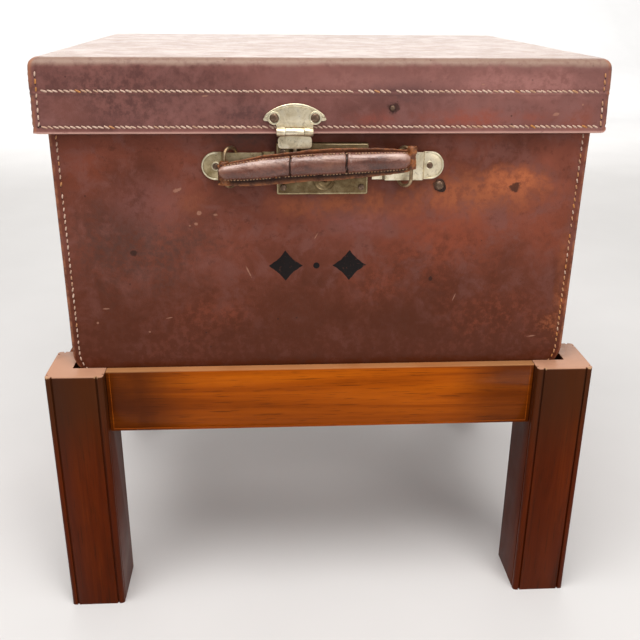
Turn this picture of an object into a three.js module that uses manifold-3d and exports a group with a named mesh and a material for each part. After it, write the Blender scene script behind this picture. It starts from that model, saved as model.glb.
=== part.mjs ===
// Leather hat box with a lift-up lid, standing in the rebate of a low wooden stand.
//
// Frame: millimetres, +Z up, X to the right, front towards -Y.
// Origin: on the floor, under the middle of the stand.

import * as THREE from 'three';
import { mergeVertices } from 'three/addons/utils/BufferGeometryUtils.js';
import Module from 'manifold-3d';

const wasm = await Module();
wasm.setup();

// ---------------------------------------------------------------- driving dimensions

const GAP = 0.3; // between two pieces that touch

const STAND = { width: 494, depth: 420, height: 249 };
const LEG = { width: 51, depth: 57, bead: 3, grooveAt: 5, grooveWidth: 1.8, grooveDepth: 2 };
const RAIL = { height: 60, setBack: 10, thickness: 22, sideThickness: 42 };
const RECESS = { depth: 12, clearance: 1.2 };

const LEATHER = 2.7;
const BOARD = 3;
const BODY = { width: 450, depth: 379, wallTop: 496 };
const LID = { width: 469, depth: 396.4, bottom: 459, top: 518 };

const BODY_FRONT = -BODY.depth / 2;
const LID_FRONT = -LID.depth / 2;
const BODY_BOTTOM = STAND.height - RECESS.depth + GAP;

const HINGE = { x: 140, width: 56, y: 195.8, z: 455, barrel: 3.4, leaf: 1.5, lidReach: 487, bodyReach: 424 };
const PIN = { radius: 1.3, bore: 1.65 };

const HASP = { x: -24.8, z: 461, halfWidth: 25.3, top: 483.4, tips: 471.5, neck: 14.8, thickness: 1.6 };
const TONGUE = { halfWidth: 13.8, bottom: 447.5, front: -201.2, thickness: 1.6, barrel: 7.4, corner: 3 };
const STAPLE = { halfWidth: 1.2, back: -193, bottom: 444.6, top: 452 };
const EYE = { front: -197.1, back: -193.9, bottom: 445.6, top: 449.4 };

const LOCK = { x: -2, halfWidth: 38, bottom: 409, top: 451, caseFront: -197, plateFront: -198.7, plate: 1.4 };
const NOTCH = { halfWidth: 4.5, bottom: 441.4, back: -191.8 };
const BOLT = { right: 6, left: -19.8, bottom: 446, top: 449, front: -196.6, back: -194.4 };
const BOSS = { x: 0.1, z: 421.4, radius: 9.6, rim: 7, height: 1.6, keyhole: 1.5, keySlot: 5 };

const HARDWARE_X = -0.6; // middle between the two handle brackets
const BRACKET = { outer: 101.7, inner: 41, z: 431.5, height: 23.4, thickness: 1.5 };
const BRIDGE = { outer: 84.4, inner: 50.4, slope: 1.8, rise: 4.3 };
const RING = { height: 35, depth: 17.7, wire: 2.8, z: 431.9, yaw: THREE.MathUtils.degToRad(40) };

const HANDLE = { pivotY: -203.5, rollY: -208.8, rollDepth: 14, rollHeight: 15.6, crackGap: 0.6 };
const HANDLE_END = { reach: 5.5, length: 13, back: -199.5, front: -208.3, height: 18 };
const PIVOT_SLOT = { outward: 2.2, inward: 3.5, halfDepth: 2.3 };
// the line of the handle, from its left ring to its right ring: x across, z up
const HANDLE_LINE = [
  { x: -82.5, z: 431 },
  { x: -30, z: 434.6 },
  { x: 16.7, z: 436.4 },
  { x: 71.5, z: 436.6 },
];

const COLOURS = {
  leather: { color: 0x5a2a22, roughness: 0.45, metalness: 0 },
  board: { color: 0xb59b77, roughness: 0.9, metalness: 0 },
  handle: { color: 0x4a1f1a, roughness: 0.35, metalness: 0 },
  wood: { color: 0x6b2f14, roughness: 0.35, metalness: 0 },
  brass: { color: 0xb0a06e, roughness: 0.4, metalness: 1 },
  steel: { color: 0x5a4f48, roughness: 0.5, metalness: 1 },
};

// ---------------------------------------------------------------- shared helpers

const hatBox = new THREE.Group();

/** Adds one named piece to the model. */
function addPiece(name, look, geometry) {
  const material = new THREE.MeshStandardMaterial(COLOURS[look]);
  const mesh = new THREE.Mesh(geometry, material);
  mesh.name = name;
  hatBox.add(mesh);
}

/** A three.js geometry as a manifold-3d solid. */
function solid(geometry) {
  const bare = geometry.clone();
  bare.deleteAttribute('normal');
  bare.deleteAttribute('uv');
  const merged = mergeVertices(bare, 1e-4);
  return new wasm.Manifold(new wasm.Mesh({
    numProp: 3,
    vertProperties: new Float32Array(merged.attributes.position.array),
    triVerts: new Uint32Array(merged.index.array),
  }));
}

/** A manifold-3d solid as a three.js geometry. */
function geometryOf(manifold) {
  const mesh = manifold.getMesh();
  const geometry = new THREE.BufferGeometry();
  geometry.setAttribute('position', new THREE.BufferAttribute(mesh.vertProperties, 3));
  geometry.setIndex(new THREE.BufferAttribute(mesh.triVerts, 1));
  return geometry.toNonIndexed();
}

/** Joins some geometries and cuts others out of them. */
function carve(joined, cuts = []) {
  let result = solid(joined[0]);
  for (const geometry of joined.slice(1)) {
    result = result.add(solid(geometry));
  }
  for (const geometry of cuts) {
    result = result.subtract(solid(geometry));
  }
  return geometryOf(result);
}

/** A block between two values on each axis. */
function block([x0, x1], [y0, y1], [z0, z1]) {
  const geometry = new THREE.BoxGeometry(x1 - x0, y1 - y0, z1 - z0);
  return geometry.translate((x0 + x1) / 2, (y0 + y1) / 2, (z0 + z1) / 2);
}

/** A round bar along X. */
function barAlongX([x0, x1], y, z, radius, sides = 24) {
  const geometry = new THREE.CylinderGeometry(radius, radius, x1 - x0, sides);
  return geometry.rotateZ(Math.PI / 2).translate((x0 + x1) / 2, y, z);
}

/** A plate drawn in X and Z, with its back at yBack and its face towards the front. */
function frontPlate(shape, yBack, thickness, curveSegments = 12) {
  const geometry = new THREE.ExtrudeGeometry(shape, { depth: thickness, bevelEnabled: false, curveSegments });
  return geometry.rotateX(Math.PI / 2).translate(0, yBack, 0);
}

/** A rivet head that faces the front: a low dome on a short collar. */
function rivet(x, yBack, z, radius, height) {
  const collar = height * 0.25;
  const profile = [new THREE.Vector2(0, 0), new THREE.Vector2(radius, 0), new THREE.Vector2(radius, collar)];
  const steps = 4;
  for (let i = 1; i <= steps; i += 1) {
    const angle = (i / steps) * (Math.PI / 2);
    profile.push(new THREE.Vector2(radius * Math.cos(angle), collar + (height - collar) * Math.sin(angle)));
  }
  profile[profile.length - 1].x = 0;
  return new THREE.LatheGeometry(profile, 16).rotateX(Math.PI).translate(x, yBack, z);
}

/** A rectangle with rounded corners, centred on (x, z). */
function roundedRectangle(x, z, width, height, radius, Kind = THREE.Shape) {
  const left = x - width / 2;
  const right = x + width / 2;
  const low = z - height / 2;
  const high = z + height / 2;
  const outline = new Kind();
  outline.moveTo(left + radius, low);
  outline.lineTo(right - radius, low);
  outline.absarc(right - radius, low + radius, radius, -Math.PI / 2, 0, false);
  outline.lineTo(right, high - radius);
  outline.absarc(right - radius, high - radius, radius, 0, Math.PI / 2, false);
  outline.lineTo(left + radius, high);
  outline.absarc(left + radius, high - radius, radius, Math.PI / 2, Math.PI, false);
  outline.lineTo(left, low + radius);
  outline.absarc(left + radius, low + radius, radius, Math.PI, 1.5 * Math.PI, false);
  return outline;
}

// ---------------------------------------------------------------- stand

const RECESS_X = BODY.width / 2 + RECESS.clearance;
const RECESS_Y = BODY.depth / 2 + RECESS.clearance;

/** The space that the foot of the box drops into, cut out of the legs and rails. */
function recess() {
  const shelf = STAND.height - RECESS.depth;
  return block([-RECESS_X, RECESS_X], [-RECESS_Y, RECESS_Y], [shelf, STAND.height + RECESS.depth]);
}

/** A bead at one corner of a leg, with a square groove beside it on both faces. */
function staffBead(cornerX, cornerY, turnDegrees) {
  const { bead: r, grooveAt, grooveWidth, grooveDepth } = LEG;
  const grooveEnd = grooveAt + grooveWidth;
  const outline = [[0, grooveEnd], [grooveDepth, grooveEnd], [grooveDepth, grooveAt], [0, grooveAt]];
  const steps = 6;
  for (let i = 0; i <= steps; i += 1) {
    const angle = Math.PI + (i / steps) * (Math.PI / 2);
    outline.push([r + r * Math.cos(angle), r + r * Math.sin(angle)]);
  }
  outline.push([grooveAt, 0], [grooveAt, grooveDepth], [grooveEnd, grooveDepth], [grooveEnd, 0]);
  const origin = new THREE.Vector2(0, 0);
  const turn = THREE.MathUtils.degToRad(turnDegrees);
  const corner = new THREE.Vector2(cornerX, cornerY);
  return outline.map(([x, y]) => new THREE.Vector2(x, y).rotateAround(origin, turn).add(corner));
}

/** Cross-section of a leg: 0,0 is its outer corner, x runs inwards along the front, y to the middle. */
function legSection() {
  const { width, depth } = LEG;
  return [
    ...staffBead(0, 0, 0),
    ...staffBead(width, 0, 90),
    new THREE.Vector2(width, depth),
    ...staffBead(0, depth, -90),
  ];
}

function addLeg(name, sideX, sideY) {
  const section = legSection().map((point) => new THREE.Vector2(
    sideX * (STAND.width / 2 - point.x),
    sideY * (STAND.depth / 2 - point.y),
  ));
  const shape = new THREE.Shape(section);
  const post = new THREE.ExtrudeGeometry(shape, { depth: STAND.height, bevelEnabled: false });
  addPiece(name, 'wood', carve([post], [recess()]));
}

function addStand() {
  addLeg('leg_front_left', -1, -1);
  addLeg('leg_front_right', 1, -1);
  addLeg('leg_back_left', -1, 1);
  addLeg('leg_back_right', 1, 1);

  const heights = [STAND.height - RAIL.height, STAND.height];
  const railX = STAND.width / 2 - LEG.width - GAP;
  const railY = STAND.depth / 2 - LEG.depth - GAP;
  const outerX = STAND.width / 2 - RAIL.setBack;
  const outerY = STAND.depth / 2 - RAIL.setBack;
  const rails = {
    rail_front: block([-railX, railX], [-outerY, RAIL.thickness - outerY], heights),
    rail_back: block([-railX, railX], [outerY - RAIL.thickness, outerY], heights),
    rail_left: block([-outerX, RAIL.sideThickness - outerX], [-railY, railY], heights),
    rail_right: block([outerX - RAIL.sideThickness, outerX], [-railY, railY], heights),
  };
  for (const [name, rail] of Object.entries(rails)) {
    addPiece(name, 'wood', carve([rail], [recess()]));
  }
}

// ---------------------------------------------------------------- leather and board cases

/** Four walls of one layer: the side walls run the full depth, front and back fit between them. */
function addWalls(prefix, suffix, look, width, depth, thickness, heights) {
  const x = width / 2;
  const y = depth / 2;
  const between = x - thickness - GAP;
  addPiece(`${prefix}_left_${suffix}`, look, block([-x, thickness - x], [-y, y], heights));
  addPiece(`${prefix}_right_${suffix}`, look, block([x - thickness, x], [-y, y], heights));
  addPiece(`${prefix}_front_${suffix}`, look, block([-between, between], [-y, thickness - y], heights));
  addPiece(`${prefix}_back_${suffix}`, look, block([-between, between], [y - thickness, y], heights));
}

/** A flat panel that fills the inside of four walls of the given outer size. */
function panelInside(width, depth, thickness, heights) {
  const x = width / 2 - thickness - GAP;
  const y = depth / 2 - thickness - GAP;
  return block([-x, x], [-y, y], heights);
}

const LINING_INSET = 2 * (LEATHER + GAP);

function addBody() {
  const { width, depth, wallTop } = BODY;
  const boardBottom = BODY_BOTTOM + LEATHER + GAP;
  const boardWidth = width - LINING_INSET;
  const boardDepth = depth - LINING_INSET;

  addWalls('body', 'leather', 'leather', width, depth, LEATHER, [BODY_BOTTOM, wallTop]);
  const base = panelInside(width, depth, LEATHER, [BODY_BOTTOM, BODY_BOTTOM + LEATHER]);
  addPiece('body_base_leather', 'leather', base);

  addWalls('body', 'board', 'board', boardWidth, boardDepth, BOARD, [boardBottom, wallTop]);
  const floor = panelInside(boardWidth, boardDepth, BOARD, [boardBottom, boardBottom + BOARD]);
  addPiece('body_floor_board', 'board', floor);
}

function addLid() {
  const { width, depth, bottom, top } = LID;
  const leatherUnder = top - LEATHER;
  const boardTop = leatherUnder - GAP;
  const boardWidth = width - LINING_INSET;
  const boardDepth = depth - LINING_INSET;

  addWalls('lid', 'leather', 'leather', width, depth, LEATHER, [bottom, leatherUnder - GAP]);
  const cover = block([-width / 2, width / 2], [-depth / 2, depth / 2], [leatherUnder, top]);
  addPiece('lid_top_leather', 'leather', cover);

  addWalls('lid', 'board', 'board', boardWidth, boardDepth, BOARD, [bottom, boardTop]);
  const ceiling = panelInside(boardWidth, boardDepth, BOARD, [boardTop - BOARD, boardTop]);
  addPiece('lid_top_board', 'board', ceiling);
}

// ---------------------------------------------------------------- back hinges

/** X ranges of every second knuckle of a hinge, starting with knuckle `first`. */
function knuckles(centre, width, count, first) {
  const pitch = width / count;
  const ranges = [];
  for (let i = first; i < count; i += 2) {
    const start = centre - width / 2 + i * pitch;
    ranges.push([start + GAP / 2, start + pitch - GAP / 2]);
  }
  return ranges;
}

function addHinge(side, x) {
  const { width, y, z, barrel, leaf, lidReach, bodyReach } = HINGE;
  const acrossLeaf = [x - width / 2, x + width / 2];
  const bore = barAlongX([x - width, x + width], y, z, PIN.bore);
  const knuckleCount = 5;
  const clearOfBarrel = 0.7;

  const lidFace = LID.depth / 2 + GAP;
  const lidLeaf = [block(acrossLeaf, [lidFace, lidFace + leaf], [LID.bottom + GAP, lidReach])];
  for (const range of knuckles(x, width, knuckleCount, 1)) {
    lidLeaf.push(barAlongX(range, y, z, barrel));
    lidLeaf.push(block(range, [lidFace, lidFace + leaf], [z, LID.bottom + 1]));
  }
  addPiece(`hinge_lid_leaf_${side}`, 'brass', carve(lidLeaf, [bore]));

  const bodyFace = BODY.depth / 2 + GAP;
  const leafTop = z - barrel - clearOfBarrel;
  const bodyLeaf = [block(acrossLeaf, [bodyFace, bodyFace + leaf], [bodyReach, leafTop])];
  for (const range of knuckles(x, width, knuckleCount, 0)) {
    bodyLeaf.push(barAlongX(range, y, z, barrel));
    bodyLeaf.push(block(range, [bodyFace, y], [leafTop - 1, z - PIN.bore - 0.3]));
  }
  addPiece(`hinge_body_leaf_${side}`, 'brass', carve(bodyLeaf, [bore]));

  addPiece(`hinge_pin_${side}`, 'steel', barAlongX(acrossLeaf, y, z, PIN.radius, 12));
}

// ---------------------------------------------------------------- hasp on the lid

const HASP_BARREL_Y = LID_FRONT - GAP - HINGE.barrel;

/** Crescent top with two rounded ears, narrowing to the neck above the barrel. */
function haspOutline() {
  const { x, halfWidth, top, tips, neck } = HASP;
  const ear = 2;
  const rise = top - tips;
  const radius = (halfWidth ** 2 + rise ** 2) / (2 * rise);
  const reach = Math.asin(halfWidth / radius);
  const outline = new THREE.Shape();
  outline.moveTo(x + neck, HASP.z);
  outline.lineTo(x + neck, HASP.z + 4.5);
  outline.quadraticCurveTo(x + neck + 1, tips - 3, x + halfWidth - 3, tips - ear);
  outline.quadraticCurveTo(x + halfWidth + 1, tips - ear, x + halfWidth, tips);
  outline.absarc(x, top - radius, radius, Math.PI / 2 - reach, Math.PI / 2 + reach, false);
  outline.quadraticCurveTo(x - halfWidth - 1, tips - ear, x - halfWidth + 3, tips - ear);
  outline.quadraticCurveTo(x - neck - 1, tips - 3, x - neck, HASP.z + 4.5);
  outline.lineTo(x - neck, HASP.z);
  return outline;
}

function addHasp() {
  const { x, z, neck, thickness } = HASP;
  const ends = [[x - neck, x - TONGUE.barrel - GAP], [x + TONGUE.barrel + GAP, x + neck]];
  const bore = barAlongX([x - 2 * neck, x + 2 * neck], HASP_BARREL_Y, z, PIN.bore);
  const barrels = ends.map((range) => barAlongX(range, HASP_BARREL_Y, z, HINGE.barrel));
  const tongueRoom = HINGE.barrel + GAP;
  const middle = block(
    [x - TONGUE.barrel - GAP, x + TONGUE.barrel + GAP],
    [HASP_BARREL_Y - tongueRoom, LID_FRONT],
    [z - tongueRoom, z + tongueRoom],
  );
  const plate = frontPlate(haspOutline(), LID_FRONT - GAP, thickness);
  addPiece('hasp_plate', 'brass', carve([plate, ...barrels], [bore, middle]));
  addPiece('hasp_pin', 'steel', barAlongX([x - neck, x + neck], HASP_BARREL_Y, z, PIN.radius, 12));

  const rivetFace = LID_FRONT - GAP - thickness - GAP;
  addPiece('hasp_rivet_left', 'steel', rivet(x - 16.6, rivetFace, 471.8, 3.7, 1.8));
  addPiece('hasp_rivet_right', 'steel', rivet(x + 16.6, rivetFace, 471.8, 3.7, 1.8));
}

/** The swinging tongue: its barrel, its flat and the staple that the lock bolt passes through. */
function addHaspTongue() {
  const { halfWidth, bottom, front, thickness, barrel, corner } = TONGUE;
  const { x, z } = HASP;
  const back = front + thickness;
  const flatTop = z - HINGE.barrel - GAP;
  const flat = roundedRectangle(x, (bottom + flatTop) / 2, 2 * halfWidth, flatTop - bottom, corner);
  const joined = [
    frontPlate(flat, back, thickness, 4),
    block([x - barrel, x + barrel], [front, back], [flatTop - 1, z - PIN.bore]),
    barAlongX([x - barrel, x + barrel], HASP_BARREL_Y, z, HINGE.barrel),
    block(
      [x - STAPLE.halfWidth, x + STAPLE.halfWidth],
      [front + 0.5, STAPLE.back],
      [STAPLE.bottom, STAPLE.top],
    ),
  ];
  const cuts = [
    barAlongX([x - halfWidth, x + halfWidth], HASP_BARREL_Y, z, PIN.bore),
    block([x - 2 * STAPLE.halfWidth, x + 2 * STAPLE.halfWidth], [EYE.front, EYE.back], [EYE.bottom, EYE.top]),
  ];
  addPiece('hasp_tongue', 'brass', carve(joined, cuts));
}

// ---------------------------------------------------------------- lock on the body

const LOCK_BACK = BODY_FRONT - GAP;

/** Round keyhole with its slot below, as a cutter that runs from front to back. */
function keyholeCutter() {
  const { x, z, keyhole, keySlot } = BOSS;
  const round = new THREE.CylinderGeometry(keyhole, keyhole, 40, 12).translate(x, BODY_FRONT, z);
  const slot = block([x - keyhole / 2, x + keyhole / 2], [BODY_FRONT - 20, BODY_FRONT - 4], [z - keySlot, z]);
  return [round, slot];
}

function addLock() {
  const { x, halfWidth, bottom, top, caseFront, plateFront, plate } = LOCK;
  const across = [x - halfWidth, x + halfWidth];
  const heights = [bottom, top];
  const notch = block(
    [HASP.x - NOTCH.halfWidth, HASP.x + NOTCH.halfWidth],
    [plateFront - 1, NOTCH.back],
    [NOTCH.bottom, top + 1],
  );
  const boltClearance = 0.35;
  const channel = block(
    [HASP.x, BOLT.right + 2],
    [caseFront - 1, BOLT.back + boltClearance],
    [BOLT.bottom - boltClearance, BOLT.top + boltClearance],
  );
  const keyRoom = block([BOSS.x - 6, BOSS.x + 6], [caseFront - 1, BODY_FRONT - 3], [BOSS.z - 7, BOSS.z + 7]);

  const lockCase = block(across, [caseFront, LOCK_BACK], heights);
  addPiece('lock_case', 'brass', carve([lockCase], [notch, channel, keyRoom]));
  const face = frontPlate(
    roundedRectangle(x, (bottom + top) / 2, 2 * halfWidth, top - bottom, 1.5),
    plateFront + plate,
    plate,
    3,
  );
  addPiece('lock_plate', 'brass', carve([face], [notch, ...keyholeCutter()]));
  const bolt = block([BOLT.left, BOLT.right], [BOLT.front, BOLT.back], [BOLT.bottom, BOLT.top]);
  addPiece('lock_bolt', 'steel', bolt);

  const bossBack = plateFront - GAP;
  const boss = new THREE.LatheGeometry([
    new THREE.Vector2(0, 0),
    new THREE.Vector2(BOSS.radius, 0),
    new THREE.Vector2(BOSS.radius, BOSS.height * 0.5),
    new THREE.Vector2(BOSS.radius - 1, BOSS.height),
    new THREE.Vector2(BOSS.rim, BOSS.height),
    new THREE.Vector2(BOSS.rim - 0.6, BOSS.height * 0.6),
    new THREE.Vector2(0, BOSS.height * 0.6),
  ], 32).rotateX(Math.PI).translate(BOSS.x, bossBack, BOSS.z);
  addPiece('keyhole_boss', 'brass', carve([boss], keyholeCutter()));

  const rivetFace = plateFront - GAP;
  const rivetX = halfWidth - 5.4;
  const rivetZ = { lower: bottom + 6, upper: top - 6.6 };
  for (const [level, z] of Object.entries(rivetZ)) {
    addPiece(`lock_rivet_${level}_left`, 'steel', rivet(x - rivetX, rivetFace, z, 2.7, 1.2));
    addPiece(`lock_rivet_${level}_right`, 'steel', rivet(x + rivetX, rivetFace, z, 2.7, 1.2));
  }
}

// ---------------------------------------------------------------- handle and its brackets

/** Section of a bracket seen from above: flat foot, bridge, flat foot. Side is -1 left, 1 right. */
function bracketSection(side) {
  const { outer, inner, thickness } = BRACKET;
  const { slope, rise } = BRIDGE;
  const face = LOCK_BACK;
  const outline = [
    [outer, face],
    [BRIDGE.outer, face],
    [BRIDGE.outer - slope, face - rise],
    [BRIDGE.inner + slope, face - rise],
    [BRIDGE.inner, face],
    [inner, face],
    [inner, face - thickness],
    [BRIDGE.inner - slope * 0.4, face - thickness],
    [BRIDGE.inner + slope * 0.6, face - rise - thickness],
    [BRIDGE.outer - slope * 0.6, face - rise - thickness],
    [BRIDGE.outer + slope * 0.4, face - thickness],
    [outer, face - thickness],
  ];
  return new THREE.Shape(outline.map(([x, y]) => new THREE.Vector2(HARDWARE_X + side * x, y)));
}

function addBracket(name, side) {
  const { outer, inner, z, height, thickness } = BRACKET;
  const strip = new THREE.ExtrudeGeometry(bracketSection(side), { depth: height, bevelEnabled: false });
  strip.translate(0, 0, z - height / 2);

  // the outer end is a half circle, so the strip is trimmed to a plate of that outline
  const roundEnd = height / 2;
  const outline = new THREE.Shape();
  const endX = outer - roundEnd;
  outline.moveTo(inner, z - roundEnd);
  outline.lineTo(endX, z - roundEnd);
  outline.absarc(endX, z, roundEnd, -Math.PI / 2, Math.PI / 2, false);
  outline.lineTo(inner, z + roundEnd);
  const mirrored = outline.getPoints(12).map((p) => new THREE.Vector2(HARDWARE_X + side * p.x, p.y));
  const trim = frontPlate(new THREE.Shape(mirrored), BODY_FRONT, 20);
  addPiece(name, 'brass', geometryOf(solid(strip).intersect(solid(trim))));

  const rivetFace = LOCK_BACK - thickness - GAP;
  addPiece(`${name}_outer_rivet`, 'steel', rivet(HARDWARE_X + side * 89.6, rivetFace, z, 2.6, 1.4));
  addPiece(`${name}_inner_rivet`, 'steel', rivet(HARDWARE_X + side * 45.2, rivetFace, z, 2, 1.2));
}

/** Flat wire ring round a bridge, turned so that its back run lies nearer the middle than its front run. */
function addRing(name, pivotX, side) {
  const { height, depth, wire, z, yaw } = RING;
  const middle = wire / 2 - depth / 2; // puts the centre of the front run on the pivot
  const outline = roundedRectangle(-middle, z, depth, height, 4);
  outline.holes.push(roundedRectangle(-middle, z, depth - 2 * wire, height - 2 * wire, 2, THREE.Path));
  const ring = new THREE.ExtrudeGeometry(outline, { depth: wire, bevelEnabled: false, curveSegments: 4 });
  ring.rotateX(Math.PI / 2).translate(0, wire / 2, 0);
  const quarterTurn = Math.PI / 2;
  ring.rotateZ(quarterTurn + side * yaw).translate(pivotX, HANDLE.pivotY, 0);
  addPiece(name, 'brass', ring);
}

/** One stretch of the padded roll, between two points of the handle's line. */
function rollBetween(from, to) {
  const section = new THREE.Shape();
  section.absellipse(0, 0, HANDLE.rollDepth / 2, HANDLE.rollHeight / 2, 0, 2 * Math.PI, false, 0);
  const path = new THREE.LineCurve3(
    new THREE.Vector3(from.x, HANDLE.rollY, from.z),
    new THREE.Vector3(to.x, HANDLE.rollY, to.z),
  );
  return new THREE.ExtrudeGeometry(section, { steps: 1, extrudePath: path, curveSegments: 12 });
}

/** The sewn loop at one end of the handle. */
function endLoop(point, side) {
  const { reach, length, back, front, height } = HANDLE_END;
  const outside = point.x + side * reach;
  const inside = outside - side * length;
  const across = [Math.min(outside, inside), Math.max(outside, inside)];
  return block(across, [front, back], [point.z - height / 2, point.z + height / 2]);
}

/** The slot through a loop that the ring's front run stands in. */
function pivotSlot(point, side) {
  const { outward, inward, halfDepth } = PIVOT_SLOT;
  const outside = point.x + side * outward;
  const inside = point.x - side * inward;
  const across = [Math.min(outside, inside), Math.max(outside, inside)];
  return block(
    across,
    [HANDLE.pivotY - halfDepth, HANDLE.pivotY + halfDepth],
    [point.z - HANDLE_END.height, point.z + HANDLE_END.height],
  );
}

function addHandle() {
  const [leftRing, leftCrack, rightCrack, rightRing] = HANDLE_LINE;
  const half = HANDLE.crackGap / 2;
  const shifted = (point, dx) => ({ x: point.x + dx, z: point.z });
  const loopInset = HANDLE_END.length - HANDLE_END.reach - 2;

  const left = rollBetween(shifted(leftRing, loopInset), shifted(leftCrack, -half));
  addPiece('handle_left', 'handle', carve([left, endLoop(leftRing, -1)], [pivotSlot(leftRing, -1)]));
  addPiece('handle_middle', 'handle', rollBetween(shifted(leftCrack, half), shifted(rightCrack, -half)));
  const right = rollBetween(shifted(rightCrack, half), shifted(rightRing, -loopInset));
  addPiece('handle_right', 'handle', carve([right, endLoop(rightRing, 1)], [pivotSlot(rightRing, 1)]));

  addRing('handle_ring_left', leftRing.x, -1);
  addRing('handle_ring_right', rightRing.x, 1);
}

// ---------------------------------------------------------------- assembly

addStand();
addBody();
addLid();
addHinge('left', -HINGE.x);
addHinge('right', HINGE.x);
addHasp();
addHaspTongue();
addLock();
addBracket('bracket_left', -1);
addBracket('bracket_right', 1);
addHandle();
addPiece('body_stud', 'steel', rivet(98.5, BODY_FRONT - GAP, 414.3, 4, 2.4));
addPiece('lid_stud', 'steel', rivet(54.7, LID_FRONT - GAP, 479.5, 3.6, 1.6));

export default hatBox;
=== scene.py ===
"""The looks of a leather hat box on its mahogany stand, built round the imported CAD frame."""

import math

import bpy
import numpy as np
from mathutils import Matrix, Vector, noise


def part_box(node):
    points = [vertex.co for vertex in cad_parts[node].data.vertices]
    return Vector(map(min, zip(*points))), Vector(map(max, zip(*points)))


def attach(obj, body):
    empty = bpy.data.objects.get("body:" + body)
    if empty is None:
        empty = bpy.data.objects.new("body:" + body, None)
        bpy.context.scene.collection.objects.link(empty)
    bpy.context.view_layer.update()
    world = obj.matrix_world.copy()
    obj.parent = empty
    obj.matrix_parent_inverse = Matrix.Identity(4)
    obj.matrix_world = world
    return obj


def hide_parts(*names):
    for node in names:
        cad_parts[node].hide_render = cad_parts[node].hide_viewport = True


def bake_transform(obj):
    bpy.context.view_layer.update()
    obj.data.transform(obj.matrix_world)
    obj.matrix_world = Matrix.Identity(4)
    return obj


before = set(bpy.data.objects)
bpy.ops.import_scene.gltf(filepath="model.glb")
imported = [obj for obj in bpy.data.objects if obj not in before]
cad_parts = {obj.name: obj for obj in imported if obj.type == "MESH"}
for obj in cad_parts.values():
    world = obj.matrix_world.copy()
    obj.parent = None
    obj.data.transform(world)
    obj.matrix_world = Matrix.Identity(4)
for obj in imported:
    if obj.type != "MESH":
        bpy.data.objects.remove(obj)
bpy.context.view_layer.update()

MM = 0.001
rng = np.random.default_rng(11)


# ------------------------------------------------------------------ frame measures


def low(node):
    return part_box(node)[0]


def high(node):
    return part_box(node)[1]


BODY_X = high("body_right_leather").x
BODY_FRONT = low("body_left_leather").y
BODY_Y = -BODY_FRONT
BODY_BOTTOM = low("body_base_leather").z
WALL_TOP = high("body_left_leather").z
LID_X = high("lid_top_leather").x
LID_FRONT = low("lid_top_leather").y
LID_Y = -LID_FRONT
LID_BOTTOM = low("lid_left_leather").z
LID_TOP = high("lid_top_leather").z
LEATHER = LID_TOP - low("lid_top_leather").z
STAND_TOP = high("rail_front").z
SEAM_INSET = 6.2 * MM


# ------------------------------------------------------------------ camera, light and floor


def add_camera():
    """A camera at the photograph's place, looking slightly down and a little to the right."""
    yaw, pitch, roll = (math.radians(a) for a in (3.53, 21.68, 0.45))
    forward = Vector((math.sin(yaw) * math.cos(pitch), math.cos(yaw) * math.cos(pitch), -math.sin(pitch)))
    level = Vector((math.cos(yaw), -math.sin(yaw), 0))
    upright = level.cross(forward)
    right = level * math.cos(roll) + upright * math.sin(roll)
    up = upright * math.cos(roll) - level * math.sin(roll)
    data = bpy.data.cameras.new("camera")
    data.sensor_width = 36
    data.lens = 46.4
    data.clip_start = 0.02
    camera = bpy.data.objects.new("camera", data)
    camera.matrix_world = Matrix(
        (
            (right.x, up.x, -forward.x, -0.045),
            (right.y, up.y, -forward.y, LID_FRONT - 0.6807),
            (right.z, up.z, -forward.z, 0.5665),
            (0, 0, 0, 1),
        )
    )
    bpy.context.scene.collection.objects.link(camera)
    bpy.context.scene.camera = camera


def add_area_light(name, place, target, size, power, colour=(1, 1, 1)):
    data = bpy.data.lights.new(name, "AREA")
    data.shape = "RECTANGLE"
    data.size, data.size_y = size
    data.energy = power
    data.color = colour
    light = bpy.data.objects.new(name, data)
    light.location = place
    light.rotation_euler = (Vector(target) - Vector(place)).to_track_quat("-Z", "Y").to_euler()
    bpy.context.scene.collection.objects.link(light)


def add_lights():
    """Soft light from behind, above and the front right, and one that only brightens the backdrop."""
    bpy.context.scene.view_settings.view_transform = "Standard"
    world = bpy.data.worlds.new("studio")
    world.use_nodes = True
    background = world.node_tree.nodes["Background"]
    background.inputs["Color"].default_value = (1.0, 0.985, 0.97, 1)
    background.inputs["Strength"].default_value = 0.36
    bpy.context.scene.world = world
    middle = (0, 0, 0.35)
    add_area_light("window", (0.1, 2.6, 1.55), (0, 0, 0.5), (4.2, 1.7), 38, (1, 0.965, 0.93))
    add_area_light("overhead", (-0.25, -0.85, 2.2), middle, (2.2, 1.3), 46, (1, 0.97, 0.95))
    add_area_light("front", (1.1, -2.0, 1.25), middle, (0.9, 0.9), 11, (1, 0.96, 0.92))
    add_area_light("backdrop", (0, 3.0, 2.4), (0, 6.5, 0.4), (7, 1.2), 165)


# ------------------------------------------------------------------ shader helpers


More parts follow.
